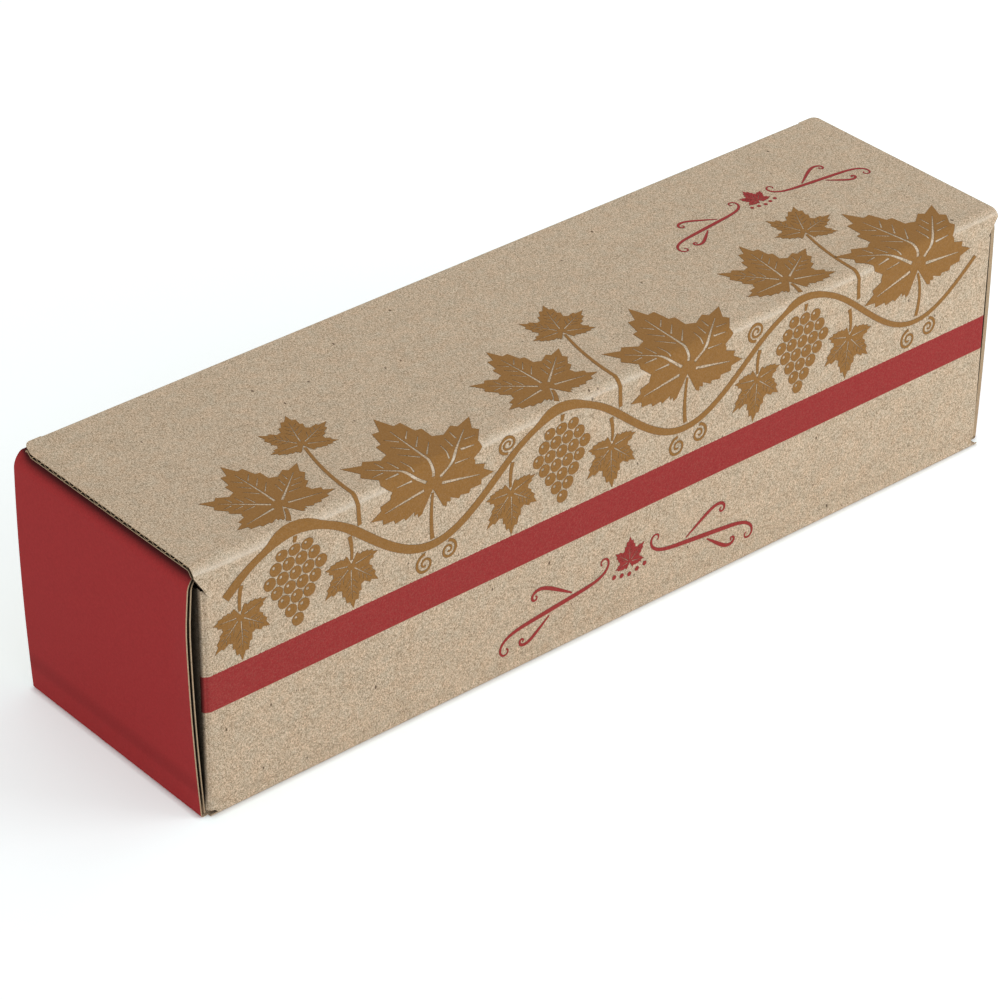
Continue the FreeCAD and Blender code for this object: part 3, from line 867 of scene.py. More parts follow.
class GIFTBOX_OT_front_board(bpy.types.Operator):
    """Hinge wall, its folds and the lid, as one sheet of fluted board"""

    bl_idname = "giftbox.front_board"
    bl_label = "Front wall and lid"

    def execute(self, context):
        board = context.scene.giftbox_board
        wall, tight_middle, bend_end, soft_middle, lid = lid_crease(board)
        low_x = -HALF_WALL - board.left_wall_stretch
        high_x = HALF_WALL + board.right_wall_stretch
        piece = wall_panel("front_board", -1, low_x, high_x, wall.y, board)
        cut_rows(Z_AXIS, [board.flare_top, SHOULDER])
        for end_x, lid_x in ((low_x, -HALF_LID), (high_x, HALF_LID)):
            pick(piece, "VERT", lambda p: near(p.x, end_x) and near(p.z, wall.y))
            bpy.ops.transform.translate(value=(lid_x - end_x, 0, 0))
        pick(piece, "VERT", lambda p: near(p.x, low_x) and near(p.z, SHOULDER))
        bpy.ops.transform.translate(value=(0, 0, -board.shoulder_drop))
        fold_wall_ends(piece, -1, low_x, high_x, SHOULDER, board)
        self.shape_ends(piece, low_x, high_x, board)
        turn = math.degrees(board.bend_turn)
        fold_edge(piece, lambda p: near(p.z, wall.y), (0, *tight_middle), X_AXIS, -turn, BEND_STEPS)
        fold_edge(
            piece, lambda p: near(p.y, bend_end.x) and near(p.z, bend_end.y), (0, *soft_middle), X_AXIS,
            turn - 90, board.fold_steps)
        extend_edge(piece, lambda p: near(p.y, lid.x) and near(p.z, TOP), (0, LID_HIGH.y - lid.x, 0))
        cut_corners(piece, lambda p: near(p.y, LID_HIGH.y), board.corner_radius, board.corner_steps)
        face_out(piece, -Y_AXIS)
        sag_crease(piece, board)
        self.shape_corners(piece, board)
        make_liners(piece, banded_kraft_liner, board.liner)
        flutes = self.add_flutes(lid.x, board)
        foot = wall_foot("front_foot", -1, low_x, high_x, board)
        self.shape_ends(foot, low_x, high_x, board)
        finish_foot(foot, Vector((0, -1, -1)), banded_kraft_liner)
        join_pieces(piece, flutes, foot)
        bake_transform(piece)
        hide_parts("hinge_wall", "hinge_wall_crease", "left_hinge_dust_flap_crease",
                    "right_hinge_dust_flap_crease", "lid_hinge_crease", "lid_panel")
        return {"FINISHED"}

    def add_flutes(self, lid_y, board):
        """Fluted paper of the lid, cut back at its rounded corners and at the slant of the left one."""
        end_gap = 0.0002
        middle = (0, (lid_y + LID_HIGH.y) / 2, TOP - BOARD / 2)
        flutes = fluted_medium(
            "lid_flutes", middle, 2 * HALF_LID - end_gap, LID_HIGH.y - lid_y, (0, 0, 0), 1, board)
        radius = board.corner_radius
        slant_in, slant_length = board.corner_slant
        cuts = []
        for end in (-1, 1):
            for degrees in (22.5, 45, 67.5):
                out = Vector((end * math.cos(math.radians(degrees)), math.sin(math.radians(degrees)), 0))
                centre = Vector((end * (HALF_LID - radius), LID_HIGH.y - radius, 0))
                cuts.append((centre + out * (radius - FLUTE_GAP), out))
        cuts.append(((FLUTE_GAP - HALF_LID, LID_HIGH.y - slant_length, 0), (-slant_length, slant_in, 0)))
        for place, out in cuts:
            bpy.ops.mesh.select_all(action="SELECT")
            bpy.ops.mesh.bisect(plane_co=place, plane_no=out, clear_outer=True)
        finish_medium(flutes, board)
        return flutes

    def shape_corners(self, piece, board):
        """Carries the lid's far corners on past the tuck crease, and cuts the left one at a slant."""
        slant_in, slant_length = board.corner_slant
        start = LID_HIGH.y - slant_length
        cut_rows(Y_AXIS, [start])
        cut_rows(X_AXIS, [-HALF_FLAP, HALF_FLAP])
        shape = bmesh.from_edit_mesh(piece.data)
        for corner in shape.verts:
            place = corner.co
            if abs(place.x) < HALF_FLAP + TOUCH:
                continue
            if place.y > LID_HIGH.y - board.corner_radius - TOUCH:
                place.y += board.corner_reach
            if place.x < 0 and place.y > start + TOUCH:
                out_share = (-place.x - HALF_FLAP) / (HALF_LID - HALF_FLAP)
                place.x += out_share * slant_in * (place.y - start) / (slant_length + board.corner_reach)
        bmesh.update_edit_mesh(piece.data)

    def shape_ends(self, piece, low_x, high_x, board):
        """Shapes the folds at the wall's ends, and flares its foot towards the right.

        The left fold's top runs close along the slit at the shoulder, and the fold leans in towards its top.
        """
        slit_share = 0.9
        foot_y = -HALF_DEPTH + board.foot_radius
        left_shoulder = SHOULDER - board.shoulder_drop
        crease_end = lid_crease(board)[0].y + crease_sag(-HALF_LID, board)
        slit_rise = slit_share * (crease_end - left_shoulder) / (low_x + HALF_LID)
        shape = bmesh.from_edit_mesh(piece.data)
        for corner in shape.verts:
            place = corner.co
            if place.x < low_x - TOUCH and near(place.z, left_shoulder):
                place.z += slit_rise * (low_x - place.x)
            if place.z < board.foot_radius + TOUCH and place.y < foot_y + TOUCH:
                place.y -= board.foot_flare * (place.x - low_x) / (high_x - low_x)
            if place.x < low_x + TOUCH and place.z < SHOULDER + TOUCH:
                place.x += board.left_wall_lean * place.z / SHOULDER
        bmesh.update_edit_mesh(piece.data)


def stroke(path, start_width, end_width, swell):
    """Outline of an inked line along flat points: its width goes from start to end, and swells in between.

    A flat point is a complex number: along the box, and up the sheet.
    """
    last = len(path) - 1
    left, right = [], []
    for step, point in enumerate(path):
        share = step / last
        along = path[min(step + 1, last)] - path[max(step - 1, 0)]
        width = start_width + (end_width - start_width) * share + swell * math.sin(math.pi * share)
        across = 1j * along / abs(along) * width / 2
        left.append(point + across)
        right.append(point - across)
    return left + right[::-1]


def ring(middle, radius, points):
    """Flat points of a circle."""
    return [middle + cmath.rect(radius, 2 * math.pi * step / points) for step in range(points)]


def leaf_reach(degrees):
    """How far a vine leaf reaches at an angle from its tip, as a share of its length."""
    notch_share = 0.52
    reach_share = 0.3
    for middle, lobe_share, half_width in LEAF_LOBES:
        off_share = abs(abs(degrees) - middle) / half_width
        if off_share < 1:
            point_share = notch_share + (1 - notch_share) * (1 - off_share) ** 1.2
            reach_share = max(reach_share, lobe_share * point_share)
    return reach_share


def leaf_veins():
    """Gaps that a leaf's veins leave in the ink, for a leaf of length 1 that points along the first axis."""
    veins = []
    root = 0.1
    branch_turn = math.radians(42)
    for middle, lobe_share, _ in LEAF_LOBES:
        for side in (1, -1) if middle else (1,):
            axis = cmath.rect(1, side * math.radians(middle))
            path = [axis * (root + (0.8 * lobe_share - root) * step / 5) for step in range(6)]
            veins.append(stroke(path, 0.034, 0.008, 0))
            if lobe_share < 0.8:
                continue
            for along_share in (0.32, 0.47, 0.62):
                for hand in (1, -1):
                    start = axis * (lobe_share * along_share + hand * 0.035j)
                    reach = lobe_share * (0.2 * (1 - along_share) + 0.06)
                    end = start + axis * cmath.rect(reach, hand * branch_turn)
                    veins.append(stroke([start, end], 0.018, 0.006, 0))
    return veins


def leaf(base, length, aim, bend):
    """Toothed vine leaf with bare veins: from its base along a direction in degrees, and a little bent."""
    edge = [complex(-0.04, 0)]
    tooth_turn = 5
    edge_turn = 155
    for step in range(2 * edge_turn // tooth_turn + 1):
        degrees = tooth_turn * step - edge_turn
        tooth_share = 1.04 if step % 2 else 0.93
        edge.append(cmath.rect(leaf_reach(degrees) * tooth_share, math.radians(degrees)))
    turn = cmath.rect(length, math.radians(aim))
    return [[base + turn * (point + 1j * bend * point.real ** 2) for point in outline]
            for outline in (edge, *leaf_veins())]


def leaf_stalk(root, base, length, aim, sag):
    """Stalk from the stem to just short of a leaf's base."""
    end = base - cmath.rect(0.04 * length + 0.0015, math.radians(aim))
    path = []
    steps = 12
    for step in range(steps + 1):
        share = step / steps
        path.append(root + (end - root) * (share + 4j * sag * share * (1 - share)))
    return [stroke(path, 0.0016, 0.001, 0)]


def bunch(top, grape, lean):
    """Bunch of grapes that hangs from a point, each grape with a small bare highlight."""
    hang = cmath.rect(grape, math.radians(lean))
    column_gap = 2.12
    row_gap = 1.86
    outlines = []
    for row, count in enumerate(BUNCH_ROWS):
        for column in range(count):
            across = column_gap * (column - (count - 1) / 2)
            middle = top + hang * complex(across, -row_gap * row)
            outlines.append(ring(middle, grape, 18))
            outlines.append(ring(middle + grape * complex(-0.32, 0.34), 0.26 * grape, 8))
    return outlines


def tendril(start, radius, aim, turns):
    """Thin line that curls inwards, from a point that lies at an angle from the curl's middle."""
    middle = start - cmath.rect(radius, math.radians(aim))
    path = []
    steps = 40
    for step in range(steps + 1):
        share = step / steps
        path.append(middle + cmath.rect(radius * (1 - 0.85 * share), math.radians(aim + 360 * turns * share)))
    return [stroke(path, 0.0011, 0.0006, 0)]


def scroll(start, length, tilt, curl):
    """Path of a pen stroke, nearly straight and tilted in its middle, that curls up at both ends.

    Its left edge and first height are at the start.
    """
    heading = math.radians(tilt + curl * SCROLL_STEPS / 12)
    path = [0j]
    for step in range(SCROLL_STEPS):
        off_middle_share = 2 * (step + 0.5) / SCROLL_STEPS - 1
        heading += math.radians(curl) * off_middle_share ** 5
        path.append(path[-1] + cmath.rect(length / SCROLL_STEPS, heading))
    left_edge = min(point.real for point in path)
    return [start + point - left_edge for point in path]


def crease_lengths(board):
    """Lengths of the tight bend and of the soft slope, up the sheet."""
    return board.bend_radius * board.bend_turn, board.slope_radius * (QUARTER - board.bend_turn)


def front_place(along, up, board):
    """Place on the folded front board of a flat point on its outside."""
    wall, tight_middle, bend_end, soft_middle, lid = lid_crease(board)
    bend_length, slope_length = crease_lengths(board)
    if up > bend_length + slope_length:
        return Vector((along, lid.x + up - bend_length - slope_length, TOP))
    sag = crease_sag(along, board)
    if up < 0:
        sag_share = max(0.0, 1 - up / (SHOULDER - wall.y))
        return Vector((along, wall.x, wall.y + up + sag * sag_share))
    if up < bend_length:
        turn = up / board.bend_radius
        place = tight_middle + board.bend_radius * Vector((-math.cos(turn), math.sin(turn)))
    else:
        turn = board.bend_turn + (up - bend_length) / board.slope_radius
        place = soft_middle + board.slope_radius * Vector((-math.cos(turn), math.sin(turn)))
    up_share = max(0.0, (place.x - bend_end.x) / (lid.x - bend_end.x))
    return Vector((along, place.x, place.y + sag * (1 - up_share) ** 2))


def crease_rows(board):
    """Heights up the flat sheet at which the front board bends."""
    bend_length, slope_length = crease_lengths(board)
    tight = [bend_length * step / BEND_STEPS for step in range(BEND_STEPS + 1)]
    soft = [bend_length + slope_length * (step + 1) / board.fold_steps for step in range(board.fold_steps)]
    return tight + soft


def print_motifs(name, motifs, material):
    """Prints flat motifs on the front board: filled curves made mesh, scored where it bends, laid on it."""
    board = bpy.context.scene.giftbox_board
    settings = bpy.context.scene.giftbox_print
    flats = []
    for outlines in motifs:
        curve = bpy.data.curves.new(name, "CURVE")
        curve.dimensions = "2D"
        curve.fill_mode = "BOTH"
        for outline in outlines:
            spline = curve.splines.new("POLY")
            spline.points.add(len(outline) - 1)
            for corner, point in zip(spline.points, outline):
                corner.co = (point.real, point.imag, 0, 1)
            spline.use_cyclic_u = True
        flat = bpy.data.objects.new(name, curve)
        bpy.context.collection.objects.link(flat)
        flats.append(flat)
    bpy.ops.object.select_all(action="DESELECT")
    for flat in flats:
        flat.select_set(True)
    bpy.context.view_layer.objects.active = flats[0]
    bpy.ops.object.convert(target="MESH")
    piece = join_pieces(*flats)
    piece.name = name
    piece.data.name = name
    bpy.ops.object.mode_set(mode="EDIT")
    cut_rows(Y_AXIS, crease_rows(board))
    cut_rows(X_AXIS, CREASE_COLUMNS)
    shape = bmesh.from_edit_mesh(piece.data)
    for face in shape.faces:
        face.normal_update()
        if face.normal.z < 0:
            face.normal_flip()
    for corner in shape.verts:
        corner.co = front_place(corner.co.x, corner.co.y, board)
    bmesh.update_edit_mesh(piece.data)
    bpy.ops.object.mode_set(mode="OBJECT")
    piece.data.materials.append(material)
    apply_modifier(
        piece, "SHRINKWRAP", target=bpy.data.objects["front_board"], wrap_method="NEAREST_SURFACEPOINT",
        wrap_mode="ABOVE_SURFACE", offset=settings.ink_height)
    apply_modifier(piece, "SOLIDIFY", thickness=settings.ink_film, offset=-1, use_rim=True)
    smooth(piece)
    return piece


class GIFTBOX_OT_vine_print(bpy.types.Operator):
    """Ochre vine with leaves and grapes, printed from the band over the fold on to the lid"""

    bl_idname = "giftbox.vine_print"
    bl_label = "Vine print"

    def execute(self, context):
        settings = context.scene.giftbox_print
        tendril_away = 0.0305
        steps = 40 * settings.vine_turns
        length = settings.vine_end - settings.vine_start
        stem = [self.stem_point(settings.vine_start + length * step / steps) for step in range(steps + 1)]
        motifs = [[stroke(stem, settings.stem_width, settings.stem_width / 2, 0)]]
        for turn in range(settings.vine_turns):
            crest = settings.vine_start + settings.wave * (turn + 0.25)
            wobble_share = math.sin(2.3 * turn + 0.4)
            motifs += self.crest_motifs(crest, wobble_share)
            hollow = crest + settings.wave / 2
            motifs += self.hollow_motifs(hollow, wobble_share)
            if turn < settings.vine_turns - 1:
                rise = self.stem_point(hollow + tendril_away)
                motifs.append(tendril(rise + 0.003j, 0.0038, 270, -1.9))
        piece = print_motifs("vine_print", motifs, finish(ochre_ink_on_kraft))
        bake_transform(piece)
        return {"FINISHED"}

    def stem_point(self, along):
        """Flat point of the stem's middle line at a place along the box."""
        settings = bpy.context.scene.giftbox_print
        turn = 2 * math.pi * (along - settings.vine_start) / settings.wave
        return complex(along, settings.stem_middle + settings.swing * math.sin(turn))

    def crest_motifs(self, crest, wobble_share):
        """Motifs at one crest of the stem.

        There are a leaf above it, a bunch of grapes between two small leaves below it, and a shoot beside it.
        """
        settings = bpy.context.scene.giftbox_print
        small_leaf_away = 0.0205
        small_leaf_height = -0.0212
        shoot_away = 0.0232
        shoot_leaf_away = 0.0295
        shoot_height = 0.0345
        top = self.stem_point(crest)
        base = top + complex(0.003 + 0.001 * wobble_share, 0.0108)
        length = settings.high_leaf + 0.001 * wobble_share
        aim = 86 + 7 * wobble_share
        motifs = [
            leaf(base, length, aim, 0.06),
            leaf_stalk(top + 0.0024j, base, length, aim, -0.05),
            bunch(top - complex(0.0004, 0.0078), settings.grape, 4 * wobble_share),
            [stroke([top - 0.0021j, top - complex(0.0003, 0.0048)], 0.0016, 0.0011, 0)]]
        for side in (-1, 1):
            root = self.stem_point(crest + side * small_leaf_away)
            base = complex(root.real + side * 0.0006, small_leaf_height)
            aim = -90 - side * 4 + 4 * wobble_share
            motifs.append(leaf(base, settings.small_leaf, aim, 0.08 * side))
            motifs.append(leaf_stalk(root - 0.0028j, base, settings.small_leaf, aim, 0.05 * side))
        root = self.stem_point(crest + shoot_away) + complex(0.0013, 0.0019)
        base = complex(crest + shoot_leaf_away, shoot_height + 0.002 * wobble_share)
        aim = 70 + 8 * wobble_share
        motifs.append(leaf(base, settings.shoot_leaf, aim, -0.06))
        motifs.append(leaf_stalk(root, base, settings.shoot_leaf, aim, 0.05))
        return motifs

    def hollow_motifs(self, hollow, wobble_share):
        """A wide leaf above one hollow of the stem, and two tendrils below it."""
        settings = bpy.context.scene.giftbox_print
        low = self.stem_point(hollow)
        base = low + complex(0.0008 * wobble_share, 0.0218)
        length = settings.wide_leaf - 0.0008 * wobble_share
        aim = 90 - 5 * wobble_share
        return [
            leaf(base, length, aim, -0.04 * wobble_share),
            leaf_stalk(low + 0.0021j, base, length, aim, 0.08 * wobble_share),
            tendril(low - complex(0.003, 0.0023), 0.0037, 90, 1.6),
            tendril(low + complex(0.0065, -0.0012), 0.0034, 90, -1.6)]


class GIFTBOX_OT_flourishes(bpy.types.Operator):
    """Two plain red pen flourishes, on the wall below the band and on the lid"""

    bl_idname = "giftbox.flourishes"
    bl_label = "Flourishes"

    def execute(self, context):
        settings = context.scene.giftbox_print
        red = finish(thin_red_ink_on_kraft)
        for name, body, middle, size in (
                ("wall_flourish", "box", settings.wall_flourish, settings.wall_flourish_size),
                ("lid_flourish", "lid", settings.lid_flourish, settings.lid_flourish_size)):
            piece = print_motifs(name, self.flourish(complex(*middle), size), red)
            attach(piece, body)
        return {"FINISHED"}

    def flourish(self, middle, size):
        """A leaf over a row of dots, between mirrored pen strokes with two branches each."""
        motifs = [leaf(middle - 0.25j * size, 0.95 * size, 90, 0)]
        for place in (-2, -1, 0, 1, 2):
            dot = complex(0.34 * place, -0.75 + 0.07 * abs(place))
            motifs.append([ring(middle + size * dot, 0.09 * size, 14)])
        long_pen = scroll(complex(0.95, 0.1), 6.6, -6, -17)
        # A branch is the second half of a scroll, and starts just off the long stroke
        upper_step, upper_gap = 92, 0.17j
        lower_step, lower_gap = 128, -0.19j
        upper = scroll(0j, 5.0, 32, -19)[SCROLL_STEPS // 2:]
        lower = scroll(0j, 3.8, -38, 19)[SCROLL_STEPS // 2:]
        upper_branch = [long_pen[upper_step] + upper_gap + point - upper[0] for point in upper]
        lower_branch = [long_pen[lower_step] + lower_gap + point - lower[0] for point in lower]
        for path, swell in ((long_pen, 0.13), (upper_branch, 0.09), (lower_branch, 0.09)):
            for side in (1, -1):
                placed = [middle + size * complex(side * point.real, point.imag) for point in path]
                motifs.append([stroke(placed, 0.05 * size, 0.05 * size, swell * size)])
        return motifs


class GIFTBOX_OT_back_board(bpy.types.Operator):
    """Wall that the lid tucks behind, with its folds"""

    bl_idname = "giftbox.back_board"
    bl_label = "Back wall"

    def execute(self, context):
        board = context.scene.giftbox_board
        end_gap = 0.001
        edge_gap = 0.0006
        top = TUCK_HIGH.z
        piece = wall_panel("back_board", 1, -HALF_WALL, HALF_WALL, top, board)
        cut_corners(piece, lambda p: near(p.z, top), HALF_WALL - HALF_FOOT, 1)
        cut_rows(Z_AXIS, [TUCK_FOLD_HIGH.z])
        fold_wall_ends(piece, 1, -HALF_WALL, HALF_WALL, TUCK_FOLD_HIGH.z, board)
        face_out(piece, Y_AXIS)
        make_liners(piece, recycled_kraft_liner, board.liner)
        middle = (0, HALF_DEPTH - BOARD / 2, (TUCK_LOW.z + top) / 2)
        flutes = fluted_medium(
            "back_flutes", middle, 2 * HALF_FOOT - end_gap, top - TUCK_LOW.z - edge_gap, (QUARTER, 0, 0), 1,
            board)
        finish_medium(flutes, board)
        foot = wall_foot("back_foot", 1, -HALF_WALL, HALF_WALL, board)
        finish_foot(foot, Vector((0, 1, -1)), recycled_kraft_liner)
        join_pieces(piece, flutes, foot)
        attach(piece, "box")
        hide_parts("tuck_wall", "tuck_wall_crease",
                    "left_tuck_dust_flap_crease", "right_tuck_dust_flap_crease")
        return {"FINISHED"}


def stand_out(up_share, outs):
    """How far an end wall stands out at a share of its height: a curve through its foot, middle and top."""
    foot, middle, top = outs
    low = foot * (1 - up_share) * (1 - 2 * up_share)
    return low + 4 * middle * up_share * (1 - up_share) + top * up_share * (2 * up_share - 1)


def bow_rows(piece, side, rows, outs):
    """Pushes each row of an upright end wall out to its place."""
    foot, top = rows[0], rows[-1]
    for z in rows:
        pick(piece, "VERT", lambda p: near(p.z, z))
        bpy.ops.transform.translate(value=(side * stand_out((z - foot) / (top - foot), outs), 0, 0))


def flare_edge(piece, top, ledge, board):
    """Bends the near edge of the left end wall out, most of all at the height where the flare is widest."""
    strips = 4
    widest_share = 0.8
    start = board.flare_reach - HALF_END - board.end_spread
    cut_rows(Y_AXIS, [start - board.flare_reach * strip / strips for strip in range(strips)])
    shape = bmesh.from_edit_mesh(piece.data)
    for corner in shape.verts:
        place = corner.co
        if place.y > start or place.x > -END_FACE + board.roll_tip:
            continue
        edge_share = (start - place.y) / board.flare_reach
        under_share = max(0.0, min(1.0, (ledge - place.z) / (ledge - widest_share * top)))
        held_share = under_share ** 2 * (3 - 2 * under_share)
        place.x -= board.edge_flare * edge_share ** 2 * max(0.0, place.z / top) * held_share
    bmesh.update_edit_mesh(piece.data)


class GIFTBOX_OT_end_boards(bpy.types.Operator):
    """Red end walls, folded up from the base and rolled over at the top"""

    bl_idname = "giftbox.end_boards"
    bl_label = "End walls"

    def execute(self, context):
        board = context.scene.giftbox_board
        self.add_end("left", -1, board.left_end_out, False, board)
        self.add_end("right", 1, board.right_end_out, True, board)
        return {"FINISHED"}

    def add_end(self, name, side, outs, crushed, board):
        """One end wall: side is -1 for the left and 1 for the right one, whose raw edges are crushed shut."""
        ledge = LEDGE_HIGH.z - board.ledge_drop
        turn = board.roll_turn
        top = ledge - board.roll_radius * math.sin(turn) - board.roll_tip * (1 - math.sin(turn))
        foot = board.foot_radius
        half = HALF_END + board.end_spread
        upright = (QUARTER, 0, side * QUARTER)
        piece = add_panel(
            name + "_end_board", (side * END_FACE, 0, (foot + top) / 2), (2 * half, top - foot), upright)
        rows = [foot + (top - foot) * row / board.end_rows for row in range(board.end_rows + 1)]
        cut_rows(Z_AXIS, rows[1:-1])
        bow_rows(piece, side, rows, outs)
        self.roll_over(piece, side, side * (END_FACE + outs[2]), top, ledge, board)
        face_out(piece, side * X_AXIS)
        if crushed:
            make_crushed(piece, red_ink_on_kraft)
        else:
            flare_edge(piece, top, ledge, board)
            make_liners(piece, red_ink_on_kraft, board.end_liner)
            middle = (side * (END_FACE - BOARD / 2), 0, (foot + top) / 2)
            flutes = fluted_medium(
                name + "_end_flutes", middle, top - foot, 2 * (half - board.edge_hollow), (0, QUARTER, 0),
                board.end_rows, board)
            bow_rows(flutes, side, rows, outs)
            flare_edge(flutes, top, ledge, board)
            finish_medium(flutes, board)
            join_pieces(piece, flutes)
        foot_x = side * (END_FACE + outs[0])
        base = foot_fold(
            name + "_end_foot", (foot_x, 0, foot), 2 * half, upright, (foot_x - side * foot, 0, foot), Y_AXIS,
            side * 90, (side * (BASE_END + foot) - foot_x, 0, 0))
        finish_foot(base, Vector((side, 0, -1)), red_ink_on_kraft)
        join_pieces(piece, base)
        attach(piece, "box")
        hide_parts(name + "_end_crease", name + "_end_wall", name + "_end_rollover")

    def roll_over(self, piece, side, top_x, top, ledge, board):
        """Rolls an end wall in from its top: a soft bend, a tight one, the ledge, and a fold down inside."""
        roll, turn, tip = board.roll_radius, board.roll_turn, board.roll_tip
        bend_x = top_x - side * roll * (1 - math.cos(turn))
        tip_x = bend_x - side * tip * math.cos(turn)
        bend_z = top + roll * math.sin(turn)
        inner_face = -side * LEDGE_HIGH.x
        inner_x = inner_face + side * FOLD_RADIUS
        inner_z = ledge - FOLD_RADIUS
        degrees = math.degrees(turn)

        def bend(edge_x, edge_z, centre_x, centre_z, inwards):
            fold_edge(
                piece, lambda p: near(p.z, edge_z) and near(p.x, edge_x), (centre_x, 0, centre_z), Y_AXIS,
                -side * inwards, board.fold_steps)

        bend(top_x, top, top_x - side * roll, top, degrees)
        bend(bend_x, bend_z, tip_x, ledge - tip, 90 - degrees)
        extend_edge(piece, lambda p: near(p.z, ledge), (inner_x - tip_x, 0, 0))
        bend(inner_x, ledge, inner_x, inner_z, 90)
        extend_edge(
            piece, lambda p: near(p.z, inner_z) and near(p.x, inner_face), (0, 0, LEDGE_LOW.z - inner_z))


class GIFTBOX_OT_soft_creases(bpy.types.Operator):
    """Creases of the tuck flap and of its two ears"""

    bl_idname = "giftbox.soft_creases"
    bl_label = "Tuck creases"

    def execute(self, context):
        board = context.scene.giftbox_board
        self.add_flap_crease(board)
        self.add_ear_crease("left", -1, board)
        self.add_ear_crease("right", 1, board)
        return {"FINISHED"}

    def add_flap_crease(self, board):
        """Crease between the lid and the tuck flap."""
        fold_y, fold_z = LID_HIGH.y, TOP - FOLD_RADIUS
        turn = QUARTER + board.flap_lean
        piece = fold_strip(
            "tuck_fold", (0, fold_y, TOP), (2 * HALF_FLAP, FOLD_RADIUS), (0, 0, 0), -Y_AXIS * FOLD_RADIUS / 2,
            (0, fold_y, fold_z), X_AXIS, -math.degrees(turn))
        face_out(piece, Vector((0, 1, 1)))
        make_crushed(piece, recycled_kraft_liner)
        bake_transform(piece)
        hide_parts("tuck_crease")

    def add_ear_crease(self, name, side, board):
        """Crease between the tuck flap and one ear, bent upright and then leaned with the flap."""
        fold_x, fold_y = side * HALF_FLAP, LID_HIGH.y
        height = board.ear_top - board.ear_foot
        piece = fold_strip(
            name + "_ear_fold", (fold_x, fold_y + FOLD_RADIUS, board.ear_foot + height / 2),
            (FOLD_RADIUS, height), (-QUARTER, 0, 0), -side * X_AXIS * FOLD_RADIUS / 2,
            (fold_x, fold_y, 0), Z_AXIS, -side * 90)
        face_out(piece, Vector((side, 1, 0)))
        bpy.ops.mesh.select_all(action="SELECT")
        bpy.ops.transform.rotate(
            value=board.flap_lean, orient_axis="X", center_override=(0, fold_y, TOP - FOLD_RADIUS))
        make_crushed(piece, recycled_kraft_liner)
        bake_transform(piece)
        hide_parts(name + "_tuck_ear_crease")


class GIFTBOX_OT_plain_panels(bpy.types.Operator):
    """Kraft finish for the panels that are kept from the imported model"""

    bl_idname = "giftbox.plain_panels"
    bl_label = "Base, flaps and inner walls"

    def execute(self, context):
        for node_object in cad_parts.values():
            if node_object.hide_render:
                continue
            node_object.data.materials.clear()
            node_object.data.materials.append(finish(recycled_kraft_liner))
        return {"FINISHED"}


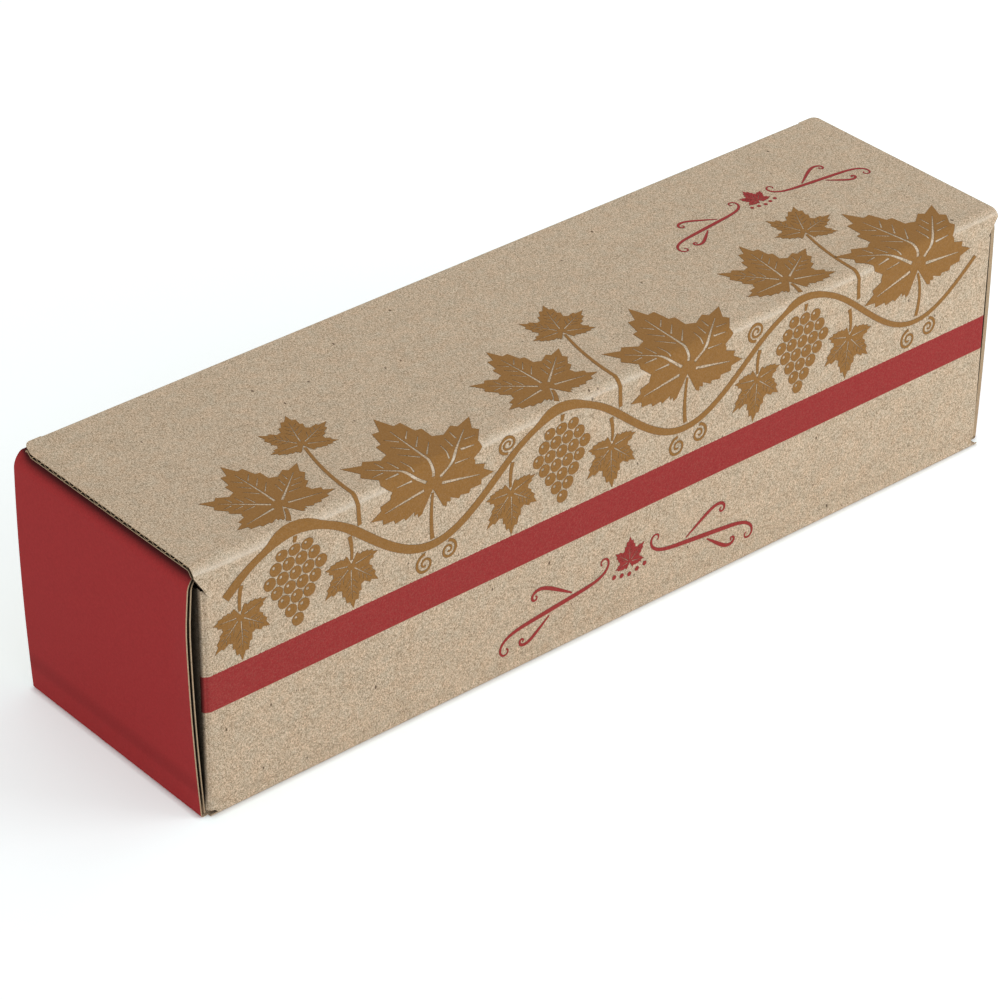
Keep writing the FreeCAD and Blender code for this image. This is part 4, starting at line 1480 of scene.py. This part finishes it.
class GIFTBOX_OT_stage(bpy.types.Operator):
    """White studio floor, soft light from the front right, and the photograph's camera"""

    bl_idname = "giftbox.stage"
    bl_label = "Studio"

    def execute(self, context):
        stage = context.scene.giftbox_stage
        self.add_floor(stage)
        self.add_light(context, stage)
        self.add_camera(context, stage)
        context.scene.view_settings.view_transform = "Standard"
        return {"FINISHED"}

    def add_floor(self, stage):
        """Studio paper: matt white, with a painted glow that only the camera sees, strongest in front, so
        that it reads as white.

        The painted glow is weaker to the left and back, where the box's shadow is kept, and fades out within
        two millimetres of the box, where the box's contact shade shows.
        """
        floor_size = 12
        contact_reach = 0.002
        towards_front = (0.45, -0.9, 0)
        # Painted light: a little cyan in the glow, against the red that the end wall throws on the floor
        glow_colour = (0.84, 1.0, 1.0, 1.0)
        bpy.ops.object.select_all(action="DESELECT")
        bpy.ops.mesh.primitive_plane_add(size=floor_size)
        floor = bpy.context.object
        floor.name = "studio_floor"
        material = new_material("white_studio_paper")
        tree = material.node_tree
        matt = add_node(tree, "ShaderNodeBsdfDiffuse", {"Color": with_alpha(stage.floor)})
        place = add_node(tree, "ShaderNodeTexCoord").outputs["Object"]
        ahead = add_node(tree, "ShaderNodeVectorMath", {0: place, 1: towards_front}, operation="DOT_PRODUCT")
        # Painted light: the glow is stronger in front of the box than to its left and back, where the box's
        # shadow is kept
        painted_front_glow = add_node(
            tree, "ShaderNodeMapRange",
            {"Value": ahead.outputs["Value"], "From Min": -0.06, "From Max": -0.01, "To Min": 0.29,
             "To Max": 0.4}, interpolation_type="SMOOTHSTEP")
        around = add_node(tree, "ShaderNodeAmbientOcclusion", {"Distance": contact_reach}, samples=12)
        off_box = add_node(tree, "ShaderNodeMath", {0: around.outputs["AO"], 1: 3.0}, operation="POWER")
        path = add_node(tree, "ShaderNodeLightPath").outputs
        seen = add_node(tree, "ShaderNodeMath", {0: path["Is Camera Ray"], 1: off_box}, operation="MULTIPLY")
        lift = add_node(tree, "ShaderNodeMath", {0: seen, 1: painted_front_glow}, operation="MULTIPLY")
        glow = add_node(tree, "ShaderNodeEmission", {"Color": glow_colour, "Strength": lift})
        both = add_node(tree, "ShaderNodeAddShader", {0: matt, 1: glow})
        add_node(tree, "ShaderNodeOutputMaterial", {"Surface": both})
        floor.data.materials.append(material)

    def add_light(self, context, stage):
        """Room light from all round, white to the camera and in gloss, and a large lamp at the right."""
        world = bpy.data.worlds.new("studio_room")
        world.use_nodes = True
        tree = world.node_tree
        tree.nodes.clear()
        path = add_node(tree, "ShaderNodeLightPath").outputs
        seen = add_node(
            tree, "ShaderNodeMath", {0: path["Is Camera Ray"], 1: path["Is Glossy Ray"]}, operation="MAXIMUM")
        ray = add_node(tree, "ShaderNodeTexCoord").outputs["Generated"]
        up = add_node(tree, "ShaderNodeSeparateXYZ", {0: ray}).outputs[2]
        from_room = add_node(
            tree, "ShaderNodeMapRange", {"Value": up, "To Min": stage.walls, "To Max": stage.ceiling})
        strength = add_node(tree, "ShaderNodeMapRange", {"Value": seen, "To Min": from_room, "To Max": 1.0})
        room = add_node(tree, "ShaderNodeBackground", {"Strength": strength})
        add_node(tree, "ShaderNodeOutputWorld", {"Surface": room})
        context.scene.world = world
        lamp_place = Vector((0.78, -0.85, 0.55))
        lamp_size = 0.7
        lit_place = Vector((0, 0, 0.05))
        bpy.ops.object.select_all(action="DESELECT")
        bpy.ops.object.light_add(type="AREA", location=lamp_place)
        lamp = context.object
        lamp.name = "key_softbox"
        lamp.data.shape = "SQUARE"
        lamp.data.size = lamp_size
        lamp.data.energy = stage.key
        lamp.data.color = stage.key_tint
        lamp.rotation_euler = (lit_place - lamp_place).to_track_quat("-Z", "Y").to_euler()

    def add_camera(self, context, stage):
        """Camera at the photograph's viewing angle, worked out for a square picture."""
        frame_width_mm = 36
        azimuth, elevation, roll = stage.camera_azimuth, stage.camera_elevation, stage.camera_roll
        ahead = Vector((-math.sin(azimuth) * math.cos(elevation), math.cos(azimuth) * math.cos(elevation),
                        -math.sin(elevation)))
        level = Vector((math.cos(azimuth), math.sin(azimuth), 0))
        upright = level.cross(ahead)
        right = level * math.cos(roll) + upright * math.sin(roll)
        up = right.cross(ahead)
        bpy.ops.object.select_all(action="DESELECT")
        bpy.ops.object.camera_add(location=stage.camera_place)
        camera = context.object
        camera.name = "photo_camera"
        camera.rotation_euler = Matrix((right, up, -ahead)).transposed().to_euler()
        camera.data.sensor_width = frame_width_mm
        camera.data.lens = stage.camera_lens
        context.scene.camera = camera


class GIFTBOX_PT_panel(bpy.types.Panel):
    """Steps and settings of the gift box"""

    bl_label = "Gift box"
    bl_idname = "GIFTBOX_PT_panel"
    bl_space_type = "VIEW_3D"
    bl_region_type = "UI"
    bl_category = "Gift box"

    def draw(self, context):
        for step in STEPS:
            self.layout.operator(step.bl_idname)
        for name, group in GROUPS.items():
            column = self.layout.column()
            for setting in group.__annotations__:
                column.prop(getattr(context.scene, name), setting)


GROUPS = {
    "giftbox_board": BoardSettings,
    "giftbox_ink": InkSettings,
    "giftbox_print": PrintSettings,
    "giftbox_stage": StageSettings,
}
STEPS = (
    GIFTBOX_OT_front_board,
    GIFTBOX_OT_vine_print,
    GIFTBOX_OT_flourishes,
    GIFTBOX_OT_back_board,
    GIFTBOX_OT_end_boards,
    GIFTBOX_OT_soft_creases,
    GIFTBOX_OT_plain_panels,
    GIFTBOX_OT_stage,
)
CLASSES = (*GROUPS.values(), *STEPS, GIFTBOX_PT_panel)


def register():
    for made in CLASSES:
        bpy.utils.register_class(made)
    for name, group in GROUPS.items():
        setattr(bpy.types.Scene, name, PointerProperty(type=group))


def unregister():
    for name in GROUPS:
        delattr(bpy.types.Scene, name)
    for made in reversed(CLASSES):
        bpy.utils.unregister_class(made)


def main():
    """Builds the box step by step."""
    register()
    bpy.ops.giftbox.front_board()
    bpy.ops.giftbox.vine_print()
    bpy.ops.giftbox.flourishes()
    bpy.ops.giftbox.back_board()
    bpy.ops.giftbox.end_boards()
    bpy.ops.giftbox.soft_creases()
    bpy.ops.giftbox.plain_panels()
    bpy.ops.giftbox.stage()


if __name__ == "__main__":
    main()
